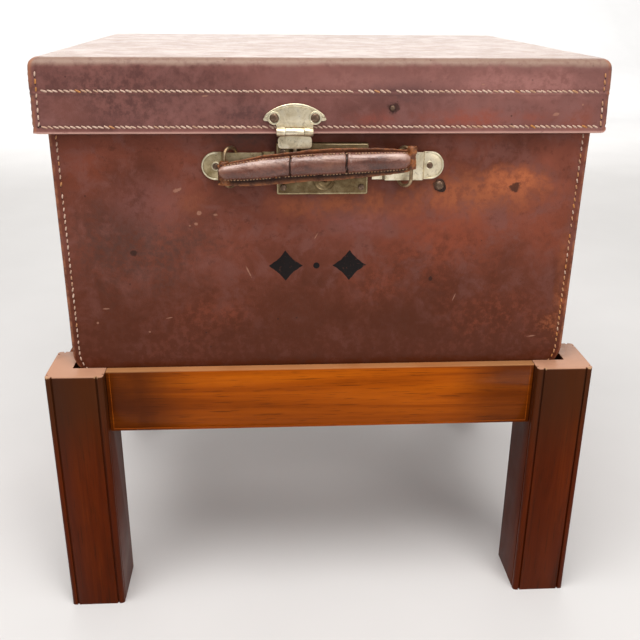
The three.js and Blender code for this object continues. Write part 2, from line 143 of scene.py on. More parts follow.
class Shader:
    """A material whose nodes are made by short calls."""

    def __init__(self, name):
        self.material = bpy.data.materials.new(name)
        self.material.use_nodes = True
        self.tree = self.material.node_tree
        self.surface = self.tree.nodes["Principled BSDF"]
        self.place = self.node("TexCoord").outputs["Object"]

    def node(self, kind, inputs=None, **settings):
        made = self.tree.nodes.new("ShaderNode" + kind)
        for key, value in settings.items():
            setattr(made, key, value)
        for key, value in (inputs or {}).items():
            self.feed(made.inputs[key], value)
        return made

    def feed(self, socket, value):
        if isinstance(value, bpy.types.NodeSocket):
            self.tree.links.new(value, socket)
        else:
            socket.default_value = value

    def set(self, **values):
        """Feeds the surface shader: underscores in a name stand for spaces."""
        for key, value in values.items():
            self.feed(self.surface.inputs[key.replace("_", " ")], value)

    def stretched(self, scale, turn=(0, 0, 0), shift=(0, 0, 0)):
        inputs = {"Vector": self.place, "Scale": scale, "Rotation": turn, "Location": shift}
        mapping = self.node("Mapping", inputs)
        return mapping.outputs["Vector"]

    def noise(self, scale, detail=3.0, roughness=0.55, distortion=0.0, vector=None):
        made = self.node(
            "TexNoise",
            {
                "Vector": vector or self.place,
                "Scale": scale,
                "Detail": detail,
                "Roughness": roughness,
                "Distortion": distortion,
            },
        )
        return made.outputs["Fac"]

    def cells(self, scale, feature="F1", vector=None):
        made = self.node("TexVoronoi", {"Vector": vector or self.place, "Scale": scale}, feature=feature)
        return made.outputs["Distance"]

    def math(self, operation, a, b=0.0, clamp=False):
        return self.node("Math", {0: a, 1: b}, operation=operation, use_clamp=clamp).outputs[0]

    def band(self, value, start, end, low=0.0, high=1.0):
        """Maps value from start..end to low..high, smoothly and without overshoot."""
        made = self.node(
            "MapRange",
            {"Value": value, "From Min": start, "From Max": end, "To Min": low, "To Max": high},
            interpolation_type="SMOOTHSTEP",
        )
        return made.outputs["Result"]

    def ramp(self, value, stops):
        made = self.node("ValToRGB", {"Fac": value})
        elements = made.color_ramp.elements
        while len(elements) < len(stops):
            elements.new(0.5)
        for element, (position, colour) in zip(elements, stops):
            element.position = position
            element.color = (*colour, 1)
        return made.outputs["Color"]

    def mix(self, factor, a, b, mode="MIX"):
        made = self.node("Mix", data_type="RGBA", blend_type=mode)
        self.feed(made.inputs["Factor"], factor)
        for socket, value in zip([s for s in made.inputs if s.type == "RGBA"], (a, b)):
            self.feed(socket, value if isinstance(value, bpy.types.NodeSocket) else (*value, 1))
        return [s for s in made.outputs if s.type == "RGBA"][0]

    def axis(self, name):
        return self.node("SeparateXYZ", {"Vector": self.place}).outputs[name]

    def spot(self, centre, radii, wobble, ragged=0.35, tilt=0.0, core=0.6):
        """1 inside a soft-edged ellipsoid made ragged by wobble, 0 outside it. core is its solid share."""
        offset = self.node("VectorMath", {0: self.place, 1: centre}, operation="SUBTRACT").outputs["Vector"]
        if tilt:
            turned = self.node("VectorRotate", {"Vector": offset, "Angle": tilt}, rotation_type="Y_AXIS")
            offset = turned.outputs["Vector"]
        scaled = self.node("VectorMath", {0: offset, 1: [1 / r for r in radii]}, operation="MULTIPLY")
        length = self.node("VectorMath", {0: scaled.outputs["Vector"]}, operation="LENGTH").outputs["Value"]
        edge = self.math("ADD", length, self.math("MULTIPLY", self.math("SUBTRACT", wobble, 0.5), ragged * 4))
        return self.band(edge, 1.15, core)

    def any_of(self, masks):
        total = masks[0]
        for mask in masks[1:]:
            total = self.math("MAXIMUM", total, mask)
        return total

    def bump(self, height, distance, strength=1.0, below=None):
        inputs = {"Height": height, "Distance": distance, "Strength": strength}
        if below is not None:
            inputs["Normal"] = below
        return self.node("Bump", inputs).outputs["Normal"]

    def attribute(self, name):
        return self.node("Attribute", attribute_name=name).outputs["Fac"]


# ------------------------------------------------------------------ materials


def case_leather(name, tones, patches=(), scuffs=(), marks=(), height_tones=()):
    """Old polished oxblood hide: mottled, greasy with handling, orange where the dye has worn off."""
    s = Shader(name)
    broad = s.noise(11, 5, 0.6, 0.5)
    cloud = s.noise(42, 5, 0.65, 0.4)
    fleck = s.noise(165, 5, 0.7)
    dark, middle, light, purple = tones
    base = s.ramp(broad, [(0.32, dark), (0.50, middle), (0.68, light)])
    base = s.mix(s.band(cloud, 0.46, 0.64, 0, 0.65), base, purple)
    base = s.mix(s.band(fleck, 0.50, 0.70, 0, 0.50), base, dark)

    for centre, radii, colour, amount in patches:
        cloudy_spot = s.spot(centre, radii, cloud, 0.5, 0, 0.05)
        mask = s.math("MULTIPLY", cloudy_spot, s.band(fleck, 0.35, 0.60, 0.35, 1.0))
        base = s.mix(s.math("MULTIPLY", mask, amount), base, colour)
    # Tones along the height: on the lid a painted highlight over its top and rounded top edge, on the body
    # darker towards its foot.
    for start, end, colour, strength in height_tones:
        wander = s.math("MULTIPLY", s.math("SUBTRACT", cloud, 0.5), abs(end - start))
        reach = s.band(s.math("ADD", s.axis("Z"), wander), start, end, 0, strength)
        base = s.mix(s.math("MULTIPLY", reach, s.band(fleck, 0.66, 0.44, 0.6, 1.0)), base, colour)
    edge = s.math("MULTIPLY", s.attribute("wear"), s.band(s.noise(85, 5, 0.7), 0.38, 0.62), clamp=True)
    base = s.mix(s.math("MULTIPLY", edge, 0.8), base, (0.42, 0.165, 0.085))
    # Painted highlight: the lip attribute pales the lid's lower rolled edge.
    lip = s.math("MULTIPLY", s.attribute("lip"), s.band(s.noise(120, 4, 0.7), 0.25, 0.42), clamp=True)
    base = s.mix(lip, base, (0.62, 0.36, 0.30))

    pits = s.math("MULTIPLY", s.band(s.cells(75), 0.085, 0.035), s.band(s.noise(19, 2), 0.48, 0.60))
    base = s.mix(s.math("MULTIPLY", pits, 0.65), base, (0.030, 0.012, 0.009))
    if scuffs:
        pale = s.any_of([s.spot(centre, radii, fleck, 0.6, tilt) for centre, radii, tilt in scuffs])
        base = s.mix(s.math("MULTIPLY", pale, 0.55), base, (0.42, 0.21, 0.14))
    if marks:
        stain = s.any_of([s.spot(centre, radii, fleck, 0.6) for centre, radii in marks])
        base = s.mix(s.math("MULTIPLY", stain, 0.75), base, (0.022, 0.009, 0.006))
    s.set(Base_Color=base)

    smooth = s.band(cloud, 0.3, 0.7, 0.30, 0.44)
    s.set(Roughness=s.math("ADD", smooth, s.math("MULTIPLY", s.math("MAXIMUM", edge, lip), 0.22)))
    s.set(Specular_IOR_Level=0.17, Coat_Weight=0.05, Coat_Roughness=0.22)

    grain = s.cells(820, "DISTANCE_TO_EDGE")
    pores = s.math("ADD", s.band(grain, 0.0, 0.22), s.math("MULTIPLY", s.noise(1500, 2), 0.6))
    uneven = s.bump(s.noise(58, 5, 0.6), 0.5 * MM, 0.5)
    s.set(Normal=s.bump(pores, 0.06 * MM, 0.5, uneven))
    return s.material


def handle_leather(name, tones, rubbed, gloss):
    """Glossy hide of the grip: painted shade in its cracks, creases and behind the roll, a painted sheen
    along its crown, rubbed through to the bare hide in places.
    """
    s = Shader(name)
    streak = s.noise(75, 5, 0.65, 0.7, s.stretched((0.3, 1, 1)))
    cloud = s.noise(150, 5, 0.65)
    base = s.ramp(streak, [(0.32, tones[0]), (0.5, tones[1]), (0.68, tones[2])])
    base = s.mix(s.band(cloud, 0.5, 0.70, 0, 0.6), base, tones[0])
    rub = s.math("MULTIPLY", s.attribute("wear"), s.band(s.noise(190, 5, 0.7), 0.34, 0.60), clamp=True)
    base = s.mix(rub, base, rubbed)
    # Painted sheen: a pale band along the crown of the roll.
    crown_sheen = s.math("MULTIPLY", s.attribute("crown_sheen"), s.band(streak, 0.42, 0.56, 0.12, 1.0))
    base = s.mix(crown_sheen, base, (0.66, 0.46, 0.38))
    # Painted shade: near-black in the cracks, creases and behind the roll.
    base = s.mix(s.attribute("fold_shade"), base, (0.010, 0.004, 0.003))
    s.set(Base_Color=base)
    s.set(Roughness=s.math("ADD", s.band(cloud, 0.3, 0.7, 0.22, 0.36), s.math("MULTIPLY", rub, 0.35)))
    s.set(Specular_IOR_Level=gloss, Coat_Weight=gloss, Coat_Roughness=0.2)
    creases = s.cells(260, "DISTANCE_TO_EDGE", s.stretched((1.8, 0.7, 0.7)))
    fine = s.bump(s.band(creases, 0.0, 0.12), 0.12 * MM, 0.6)
    s.set(Normal=s.bump(s.noise(110, 4), 0.4 * MM, 0.45, fine))
    return s.material


def thread(name, clean, grubby, orange):
    """Waxed linen thread: cream, grubby in places, orange-brown where it is old."""
    s = Shader(name)
    twist = s.noise(900, 3, 0.6)
    base = s.ramp(s.attribute("age"), [(0.0, clean), (0.45, grubby), (0.9, orange)])
    base = s.mix(s.band(twist, 0.45, 0.7, 0, 0.55), base, (0.20, 0.10, 0.06))
    s.set(Base_Color=base, Roughness=s.band(twist, 0.3, 0.7, 0.6, 0.85))
    s.set(Normal=s.bump(twist, 0.15 * MM, 0.7))
    return s.material


def stitch_hole_shade():
    # Near-black discs in the needle holes and the keyhole: painted shade.
    s = Shader("stitch_hole_shade")
    s.set(Base_Color=s.ramp(s.noise(500, 2), [(0.3, (0.012, 0.005, 0.003)), (0.7, (0.045, 0.017, 0.012))]))
    s.set(Roughness=s.band(s.noise(240, 2), 0.3, 0.7, 0.8, 0.95))
    return s.material


def old_brass(name, tones, stain_amount, roughness):
    """Tarnished pale brass: satin, brown in the pits, scratched by years of polishing."""
    s = Shader(name)
    cloud = s.noise(120, 5, 0.65, 0.5)
    speck = s.noise(560, 4, 0.7)
    stain = s.noise(210, 4, 0.7, 0.3)
    base = s.ramp(cloud, [(0.30, tones[0]), (0.5, tones[1]), (0.70, tones[2])])
    base = s.mix(s.band(stain, 0.56, 0.70, 0, stain_amount), base, (0.16, 0.095, 0.045))
    base = s.mix(s.band(speck, 0.60, 0.70, 0, stain_amount), base, (0.10, 0.055, 0.025))
    s.set(Base_Color=base)
    rough = s.band(cloud, 0.3, 0.7, roughness + 0.08, roughness - 0.05)
    s.set(Roughness=s.math("ADD", rough, s.band(speck, 0.55, 0.75, 0, 0.25)))
    s.set(Metallic=s.band(speck, 0.60, 0.74, 0.95, 0.55))
    scratch = s.cells(150, "DISTANCE_TO_EDGE", s.stretched((1.0, 1.0, 0.22), (0.2, 0.7, 0.4)))
    brush = s.bump(s.noise(1500, 2, 0.5, 0, s.stretched((0.08, 1, 1))), 0.02 * MM, 0.5)
    dents = s.bump(s.noise(170, 4), 0.14 * MM, 0.5, brush)
    s.set(Normal=s.bump(s.band(scratch, 0.0, 0.02), 0.02 * MM, 0.35, dents))
    return s.material


def dark_steel():
    """Browned metal of rivets, studs and pins, brighter where it is rubbed."""
    s = Shader("dark_steel")
    rust = s.noise(520, 5, 0.7, 0.4)
    stops = [(0.3, (0.060, 0.030, 0.018)), (0.55, (0.19, 0.120, 0.080)), (0.75, (0.42, 0.32, 0.24))]
    base = s.ramp(rust, stops)
    roughness = s.band(rust, 0.3, 0.7, 0.50, 0.28)
    s.set(Base_Color=base, Roughness=roughness, Metallic=s.band(rust, 0.3, 0.6, 0.5, 0.9))
    s.set(Normal=s.bump(rust, 0.12 * MM, 0.6))
    return s.material


def mahogany(name, grain_axis, tones, shades=(), chips=()):
    """French-polished mahogany. shades are (axis, start, end, amount, colour) tones along an axis."""
    s = Shader(name)
    lengthwise = [0.05 if axis == grain_axis else 1.0 for axis in "XYZ"]
    figure = s.noise(60, 5, 0.6, 1.2, s.stretched(lengthwise))
    pores = s.noise(950, 3, 0.6, 0.2, s.stretched([0.03 if a < 1 else 1.0 for a in lengthwise]))
    blotch = s.noise(16, 4, 0.6, 0.5)
    base = s.ramp(figure, [(0.30, tones[0]), (0.50, tones[1]), (0.70, tones[2])])
    base = s.mix(s.band(blotch, 0.35, 0.7, 0.0, 0.45), base, tones[1])
    base = s.mix(s.band(pores, 0.55, 0.68, 0, 0.60), base, (0.030, 0.009, 0.002))
    for axis, start, end, amount, colour in shades:
        distance = s.axis(axis) if axis == "Z" else s.math("ABSOLUTE", s.axis(axis))
        shade = s.math("MULTIPLY", s.band(distance, start, end), s.band(blotch, 0.3, 0.6, 0.75, 1.0))
        base = s.mix(s.math("MULTIPLY", shade, amount), base, colour)
    if chips:
        bare = s.any_of([s.spot(centre, radii, pores, 0.5) for centre, radii in chips])
        base = s.mix(bare, base, (0.50, 0.29, 0.16))
    s.set(Base_Color=base)
    s.set(Roughness=s.band(blotch, 0.3, 0.7, 0.30, 0.42))
    s.set(Specular_IOR_Level=0.03, Coat_Weight=0.06, Coat_Roughness=0.12)
    s.set(Normal=s.bump(pores, 0.05 * MM, 0.5, s.bump(s.noise(38, 3), 0.30 * MM, 0.35)))
    return s.material


def linen():
    """Buff linen lining, foxed and slightly wrinkled."""
    s = Shader("linen")
    threads = [
        s.node(
            "TexWave", {"Vector": s.place, "Scale": 900.0, "Distortion": 0.6}, bands_direction=axis
        ).outputs["Fac"]
        for axis in "XYZ"
    ]
    weave = s.math("ADD", s.math("ADD", threads[0], threads[1]), threads[2])
    foxing = s.noise(11, 5, 0.65, 0.5)
    stops = [(0.32, (0.34, 0.24, 0.14)), (0.52, (0.50, 0.39, 0.26)), (0.72, (0.60, 0.50, 0.36))]
    base = s.ramp(foxing, stops)
    base = s.mix(s.band(weave, 1.0, 2.2, 0.25, 0.0), base, (0.22, 0.15, 0.09))
    s.set(Base_Color=base, Roughness=0.88)
    s.set(Sheen_Weight=0.25)
    s.set(Normal=s.bump(weave, 0.10 * MM, 0.5, s.bump(s.noise(24, 3), 1.0 * MM, 0.4)))
    return s.material


def black_paint():
    """Old black paint, chipped so that the leather shows through."""
    s = Shader("black_paint")
    large_chips = s.band(s.noise(180, 5, 0.7), 0.62, 0.68)
    chips = s.math("MAXIMUM", large_chips, s.band(s.noise(460, 4, 0.7), 0.63, 0.69))
    base = s.mix(chips, (0.009, 0.006, 0.006), (0.110, 0.036, 0.022))
    s.set(Specular_IOR_Level=0.15, Base_Color=base, Roughness=s.band(chips, 0, 1, 0.42, 0.5))
    s.set(Normal=s.bump(chips, 0.05 * MM, 0.5))
    return s.material


def pale_floor():
    s = Shader("floor")
    tone = s.noise(3, 3)
    s.set(Base_Color=s.ramp(tone, [(0.3, (0.73, 0.725, 0.72)), (0.7, (0.77, 0.765, 0.76))]), Roughness=0.75)
    s.set(Specular_IOR_Level=0.2)
    return s.material


# ------------------------------------------------------------------ mesh helpers


def add_piece(name, vertices, faces, material, body, slot, sharp=()):
    """A smooth-shaded mesh that rides on a body. sharp is a list of rings whose edges stay crisp."""
    mesh = bpy.data.meshes.new(name)
    mesh.from_pydata([tuple(v) for v in vertices], [], [tuple(f) for f in faces])
    mesh.update()
    mesh.polygons.foreach_set("use_smooth", [True] * len(mesh.polygons))
    if sharp:
        lookup = {frozenset(edge.vertices): edge for edge in mesh.edges}
        for ring in sharp:
            for a, b in zip(ring, [*ring[1:], ring[0]]):
                lookup[frozenset((a, b))].use_edge_sharp = True
    piece = bpy.data.objects.new(name, mesh)
    bpy.context.scene.collection.objects.link(piece)
    mesh.materials.append(material)
    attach(piece, body)
    return piece


def paint(piece, name, values):
    """Stores one number for each vertex, for the material to read."""
    attribute = piece.data.attributes.new(name, "FLOAT", "POINT")
    attribute.data.foreach_set("value", np.asarray(values, np.float32))


def loft(rings):
    """Vertices and faces of a closed skin through rings of equal length, capped at both ends."""
    rings = np.asarray(rings, float)
    count, size = rings.shape[:2]
    faces = []
    for i in range(count - 1):
        for j in range(size):
            k = (j + 1) % size
            faces.append((i * size + j, i * size + k, (i + 1) * size + k, (i + 1) * size + j))
    faces.append(tuple(range(size - 1, -1, -1)))
    last = (count - 1) * size
    faces.append(tuple(range(last, last + size)))
    return rings.reshape(-1, 3), faces


def merge(parts):
    """Joins several (vertices, faces) into one."""
    vertices, faces, start = [], [], 0
    for part_vertices, part_faces in parts:
        vertices.append(np.asarray(part_vertices, float))
        faces += [tuple(i + start for i in face) for face in part_faces]
        start += len(part_vertices)
    return np.concatenate(vertices), faces


def lathe(profile, centre, axis, sides=32):
    """A closed solid turned round an axis. The profile is (radius, distance along the axis) pairs."""
    direction = Vector(axis).normalized()
    across = direction.orthogonal().normalized()
    other = direction.cross(across)
    angles = np.linspace(0, 2 * math.pi, sides, endpoint=False)
    rings = []
    for radius, along in profile:
        rings.append([
            Vector(centre) + direction * along + (across * math.cos(a) + other * math.sin(a)) * radius
            for a in angles
        ])
    return loft(rings)


def tube(path, radius, plane_normal, sides=12):
    """A closed round wire along a flat closed path."""
    path = [Vector(p) for p in path]
    normal = Vector(plane_normal).normalized()
    angles = np.linspace(0, 2 * math.pi, sides, endpoint=False)
    count = len(path)
    vertices, faces = [], []
    for i, point in enumerate(path):
        tangent = (path[(i + 1) % count] - path[i - 1]).normalized()
        side = tangent.cross(normal)
        vertices += [point + (side * math.cos(a) + normal * math.sin(a)) * radius for a in angles]
        for j in range(sides):
            k = (j + 1) % sides
            n = (i + 1) % count
            faces.append((i * sides + j, n * sides + j, n * sides + k, i * sides + k))
    return np.array(vertices), faces


def soften(node, material, bevel=0.5 * MM, segments=3):
    """Keeps a CAD node, rounds its edges a little and gives it a material."""
    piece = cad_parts[node]
    weld = piece.modifiers.new("weld", "WELD")
    weld.merge_threshold = 0.002 * MM
    rounded = piece.modifiers.new("rounded_edges", "BEVEL")
    rounded.width = bevel
    rounded.segments = segments
    rounded.limit_method = "ANGLE"
    rounded.angle_limit = math.radians(35)
    rounded.harden_normals = True
    piece.data.polygons.foreach_set("use_smooth", [True] * len(piece.data.polygons))
    piece.data.materials.clear()
    piece.data.materials.append(material)


# ------------------------------------------------------------------ leather case shapes

CORNER_STEPS = 6
FITTINGS_X, FITTINGS_Z = 112 * MM, (404 * MM, 488 * MM)
BODY_LEAN = 2.2 * MM


def side_walk(half):
    """Positions from -1 to 1 along one side, dense near the corners where the seams run."""
    near = np.array([0, 0.6, 1.2, 1.8, 2.4, 3.2, 4.0, 4.8, 5.6, 6.6, 8, 10, 13, 18, 25]) * MM
    far = np.arange(34 * MM, half, 9 * MM)
    inner = 1 - np.concatenate([near, far]) / half
    inner = inner[inner > 0.01]
    return np.concatenate([-inner, [0], inner[::-1]])


def case_ring(walks, half_x, half_y, radius):
    """One rounded rectangle, anticlockwise from its front left: points, normals, corner distances."""
    flat_x = half_x - radius
    flat_y = half_y - radius
    points, normals, distances = [], [], []
    sides = [
        (walks[0], (1, 0), (0, -1), flat_x, half_y),
        (walks[1], (0, 1), (1, 0), flat_y, half_x),
        (walks[0], (-1, 0), (0, 1), flat_x, half_y),
        (walks[1], (0, -1), (-1, 0), flat_y, half_x),
    ]
    for walk, along, out, flat, reach in sides:
        for t in walk:
            points.append([along[0] * t * flat + out[0] * reach, along[1] * t * flat + out[1] * reach])
            normals.append(out)
            distances.append(flat * (1 - abs(t)) + radius)
        corner = np.array(along) * flat + np.array(out) * (reach - radius)
        start = math.atan2(out[1], out[0])
        for step in range(1, CORNER_STEPS):
            angle = start + step / CORNER_STEPS * math.pi / 2
            normal = (math.cos(angle), math.sin(angle))
            points.append([corner[0] + radius * normal[0], corner[1] + radius * normal[1]])
            normals.append(normal)
            distances.append(radius * (1 - math.sin(step / CORNER_STEPS * math.pi)))
    return np.array(points), np.array(normals), np.array(distances)


def case_skin(half_x, half_y, radius, profile, relief=None):
    """Lofts (inset x, inset y, z, outer) steps. relief gives the outward push of an outer point."""
    walks = (side_walk(half_x), side_walk(half_y))
    rings, wears = [], []
    for inset_x, inset_y, z, outer in profile:
        size_x, size_y = half_x - inset_x, half_y - inset_y
        corner = min(max(radius - min(inset_x, inset_y) * 0.4, 1.5 * MM), size_x * 0.4, size_y * 0.4)
        points, normals, distances = case_ring(walks, size_x, size_y, corner)
        push = np.zeros(len(points))
        if outer and relief:
            push = np.array([relief(p[0], p[1], z, n, d) for p, n, d in zip(points, normals, distances)])
        rings.append(np.column_stack([points + normals * push[:, None], np.full(len(points), z)]))
        edge = np.clip(1 - distances / (3.2 * MM), 0, 1) if outer else np.zeros(len(points))
        wears.append(edge)
    vertices, faces = loft(rings)
    return vertices, faces, np.concatenate(wears)


def groove(distance, at, width, depth):
    return -depth * math.exp(-(((distance - at) / width) ** 2))


def swell(x, y, z, size, amount):
    """Slow unevenness of an old hide over its board."""
    return amount * noise.noise(Vector((x, y, z)) / size)


def unevenness(x, y, z, normal, distance):
    """The hide's bulges: fullest in the middle of a panel, quiet under the metal fittings."""
    ease = min(distance / (25 * MM), 1)
    if normal[1] < -0.9 and abs(x) < FITTINGS_X and FITTINGS_Z[0] < z < FITTINGS_Z[1]:
        ease *= 0.15
    broad = swell(x, y, z, 0.085, 0.8 * MM) + swell(x, y, z, 0.028, 0.22 * MM)
    ragged = swell(x, y, z, 0.006, 0.22 * MM) * max(1 - distance / (2.5 * MM), 0)
    return ease * broad + ragged + 0.4 * MM * abs(normal[0]) - 0.1 * MM


# body

BODY_CORNER = 3.2 * MM
FOOT_X, FOOT_Y = 26 * MM, 5 * MM


def foot_inset(z, radius, bottom=BODY_BOTTOM):
    """How far a face has drawn in at a height, where the foot of the box is rounded by wear."""
    drop = radius - (z - bottom)
    return radius - math.sqrt(max(radius**2 - drop**2, 0)) if drop > 0 else 0.0


def body_relief(x, y, z, normal, distance):
    seams = groove(distance, 2.6 * MM, 0.5 * MM, 0.4 * MM) + groove(distance, SEAM_INSET, 1.1 * MM, 0.45 * MM)
    return seams + unevenness(x, y, z, normal, distance)


def lean(vertices):
    """The right-hand wall of the box leans in a little towards its foot."""
    moved = np.array(vertices, float)
    share = np.clip((LID_BOTTOM - moved[:, 2]) / (LID_BOTTOM - BODY_BOTTOM), 0, 1)
    moved[:, 0] -= BODY_LEAN * share * np.clip(moved[:, 0] / BODY_X, 0, 1)
    return moved


def tray(thickness, foot_x, foot_y, closed_z, rim_z, middles):
    """The inside of an open box, from the middle of its floor to its rim, as profile steps."""
    away = 1 if rim_z > closed_z else -1
    floor = closed_z + away * thickness
    mid_x, mid_y = middles
    steps = [(mid_x * s, mid_y * s, floor, False) for s in (1, 0.7, 0.4, 0.2)]
    for a in np.linspace(0.25, math.pi / 2, 6):
        rise = 1 - math.cos(a)
        draw = 1 - math.sin(a)
        z = floor + away * foot_x * rise
        steps.append((thickness + foot_x * draw, thickness + foot_y * draw, z, False))
    wall = floor + away * foot_x
    steps += [(thickness, thickness, z, False) for z in np.linspace(wall, rim_z - away * 1.2 * MM, 12)[1:]]
    return steps


def body_profile():
    inner = LEATHER - 0.2 * MM
    middles = (BODY_X - 34 * MM, BODY_Y - 2 * MM)
    profile = tray(inner, FOOT_X - inner, FOOT_Y - inner, BODY_BOTTOM, WALL_TOP, middles)
    profile += [(inner * s, inner * s, WALL_TOP - 0.2 * MM, False) for s in (0.75, 0.3)]
    profile.append((0, 0, WALL_TOP - 1.2 * MM, True))
    heights = np.concatenate([
        np.arange(WALL_TOP - 8 * MM, BODY_BOTTOM + 40 * MM, -6 * MM),
        np.linspace(BODY_BOTTOM + 38 * MM, BODY_BOTTOM + 0.6 * MM, 22),
    ])
    profile += [(foot_inset(z, FOOT_X), foot_inset(z, FOOT_Y), z, True) for z in heights]
    profile.append((FOOT_X, FOOT_Y, BODY_BOTTOM + 0.1 * MM, False))
    profile += [(middles[0] * s, middles[1] * s, BODY_BOTTOM, False) for s in (0.2, 0.4, 0.7, 1)]
    return profile


# lid

LID_CORNER = 5.5 * MM
LID_ROUND = 8 * MM
FLARE = 1.6 * MM
TURN_DOWN = 25.5 * MM
LID_ROWS = {"middle": LID_TOP - TURN_DOWN, "lower": LID_BOTTOM + 5.4 * MM}
LID_NOTCH = 5 * MM


def lid_inset(z):
    """Outer face of the lid: flared towards its open edge, rounded over at the top."""
    rise = max(z - (LID_TOP - LID_ROUND), 0)
    rounded = LID_ROUND - math.sqrt(max(LID_ROUND**2 - rise**2, 0))
    return FLARE * ((z - LID_BOTTOM) / (LID_TOP - LID_BOTTOM) - 0.5) + rounded


def lid_relief(x, y, z, normal, distance):
    below_top = 1 if z < LID_TOP - LID_ROUND * 0.6 else 0
    seams = groove(distance, 2.6 * MM, 0.5 * MM, 0.35 * MM) + groove(distance, SEAM_INSET, 1.1 * MM, 0.4 * MM)
    rows = sum(groove(z, row, 1.3 * MM, 0.45 * MM) for row in LID_ROWS.values())
    turned = 0.55 * MM / (1 + math.exp(-(z - LID_ROWS["middle"] + 2.6 * MM) / (0.3 * MM)))
    lip = 0.35 * MM * math.exp(-(((z - LID_BOTTOM - 0.8 * MM) / (1.1 * MM)) ** 2))
    return below_top * (seams + rows) + turned + lip - 0.35 * MM + unevenness(x, y, z, normal, distance)


def lid_profile():
    inner = LEATHER - 0.2 * MM
    middles = (LID_X - 36 * MM, LID_Y - 2 * MM)
    profile = tray(inner, LID_ROUND - inner, LID_ROUND - inner, LID_TOP, LID_BOTTOM, middles)
    profile += [(inner * s, inner * s, LID_BOTTOM + lift, False) for s, lift in ((0.75, 0.2 * MM), (0.35, 0))]
    seam = LID_ROWS["middle"]
    heights = np.concatenate([
        np.arange(LID_BOTTOM + 0.4 * MM, LID_BOTTOM + 9 * MM, 0.7 * MM),
        np.arange(LID_BOTTOM + 11 * MM, seam - 5 * MM, 3 * MM),
        np.arange(seam - 4.4 * MM, seam + 3 * MM, 0.6 * MM),
        np.arange(seam + 4.5 * MM, LID_TOP - LID_ROUND, 3 * MM),
    ])
    profile += [(lid_inset(z), lid_inset(z), z, True) for z in heights]
    for a in np.linspace(0.0, math.pi / 2, 10):
        z = LID_TOP - LID_ROUND * (1 - math.sin(a))
        inset = FLARE * 0.45 + LID_ROUND * (1 - math.cos(a))
        profile.append((inset, inset, z, True))
    edge = FLARE * 0.45 + LID_ROUND
    sag = 0.9 * MM
    for step in (4, 9, 16, 26, 40, 60, 85, 112, 140, 165, 186):
        share = min(step / 90, 1)
        z = LID_TOP - sag * share * share * (3 - 2 * share)
        profile.append((edge + step * 1.15 * MM, edge + step * MM, z, False))
    return profile


def round_lid_corners(vertices):
    """The lower right corners of the lid's skirt are worn round."""
    for vertex in vertices:
        past = vertex[0] - (LID_X + FLARE / 2 - LID_NOTCH)
        if past > 0 and vertex[2] < LID_BOTTOM + LID_NOTCH:
            lift = LID_NOTCH - math.sqrt(max(LID_NOTCH**2 - min(past, LID_NOTCH) ** 2, 0))
            vertex[2] += lift * (1 - (vertex[2] - LID_BOTTOM) / LID_NOTCH)
    return vertices


def add_case(materials):
    vertices, faces, wear = case_skin(BODY_X, BODY_Y, BODY_CORNER, body_profile(), body_relief)
    body = add_piece("body_leather", lean(vertices), faces, materials["body_leather"], "box", "case_leather")
    paint(body, "wear", wear)
    paint(body, "lip", np.zeros(len(vertices)))
    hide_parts(*[f"body_{side}_leather" for side in ("front", "back", "left", "right", "base")])

    vertices, faces, wear = case_skin(LID_X, LID_Y, LID_CORNER, lid_profile(), lid_relief)
    # Painted highlight along the lid's lower rolled edge, read by the leather as its lip band.
    lip = np.clip(1.6 - (vertices[:, 2] - LID_BOTTOM) / (1.3 * MM), 0, 1)
    vertices = round_lid_corners(vertices)
    lid = add_piece("lid_leather", vertices, faces, materials["lid_leather"], "lid", "case_leather")
    paint(lid, "wear", wear)
    paint(lid, "lip", lip)
    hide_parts(*[f"lid_{side}_leather" for side in ("top", "front", "back", "left", "right")])


def lining_shell(name, halves, foot, closed_z, open_z, thickness, body, material, nodes):
    """A lined tray of board, open upwards or downwards, with softly rounded inside corners."""
    away = 1 if open_z > closed_z else -1
    half_x, half_y = halves
    middles = (half_x - 36 * MM, half_y - 2 * MM)
    rim = open_z - away * 0.5 * MM
    outside = tray(0, foot[0], foot[1], closed_z, rim, middles)
    inside = tray(thickness, max(foot[0] - thickness, 4 * MM), 4 * MM, closed_z, rim, middles)
    edge = [(thickness * s, thickness * s, rim, False) for s in (0.3, 0.7)]
    vertices, faces, _ = case_skin(half_x, half_y, 2.5 * MM, outside + edge + inside[::-1])
    if away < 0:
        faces = [tuple(reversed(face)) for face in faces]
    if body == "box":
        vertices = lean(vertices)
    shell = add_piece(name, vertices, faces, material, body, "lined_board")
    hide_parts(*nodes)


def add_linings(materials):
    body_nodes = [f"body_{side}_board" for side in ("floor", "front", "back", "left", "right")]
    lid_nodes = [f"lid_{side}_board" for side in ("top", "front", "back", "left", "right")]
    halves = (high("body_right_board").x, high("body_right_board").y)
    thick = halves[0] - low("body_right_board").x
    foot = (FOOT_X - LEATHER, FOOT_Y - LEATHER)
    floor = low("body_floor_board").z
    lining_shell("body_lining", halves, foot, floor, WALL_TOP, thick, "box", materials["linen"], body_nodes)
    halves = (high("lid_right_board").x, high("lid_right_board").y)
    foot = (LID_ROUND - LEATHER, LID_ROUND - LEATHER)
    ceiling = high("lid_top_board").z
    lining_shell("lid_lining", halves, foot, ceiling, LID_BOTTOM, thick, "lid", materials["linen"], lid_nodes)


# ------------------------------------------------------------------ stitching


def capsule(length, width, height, steps=7, sides=8):
    """A short plump thread along X that dives under the surface at both ends."""
    rings = []
    for t in np.linspace(-1, 1, steps):
        girth = math.sqrt(max(1 - abs(t) ** 2.6, 0.02))
        drop = -height * 0.9 * t**4
        ring = []
        for a in np.linspace(0, 2 * math.pi, sides, endpoint=False):
            across, up = math.cos(a) * width / 2 * girth, drop + math.sin(a) * height * girth
            ring.append((t * length / 2, across, up))
        rings.append(ring)
    return loft(rings)


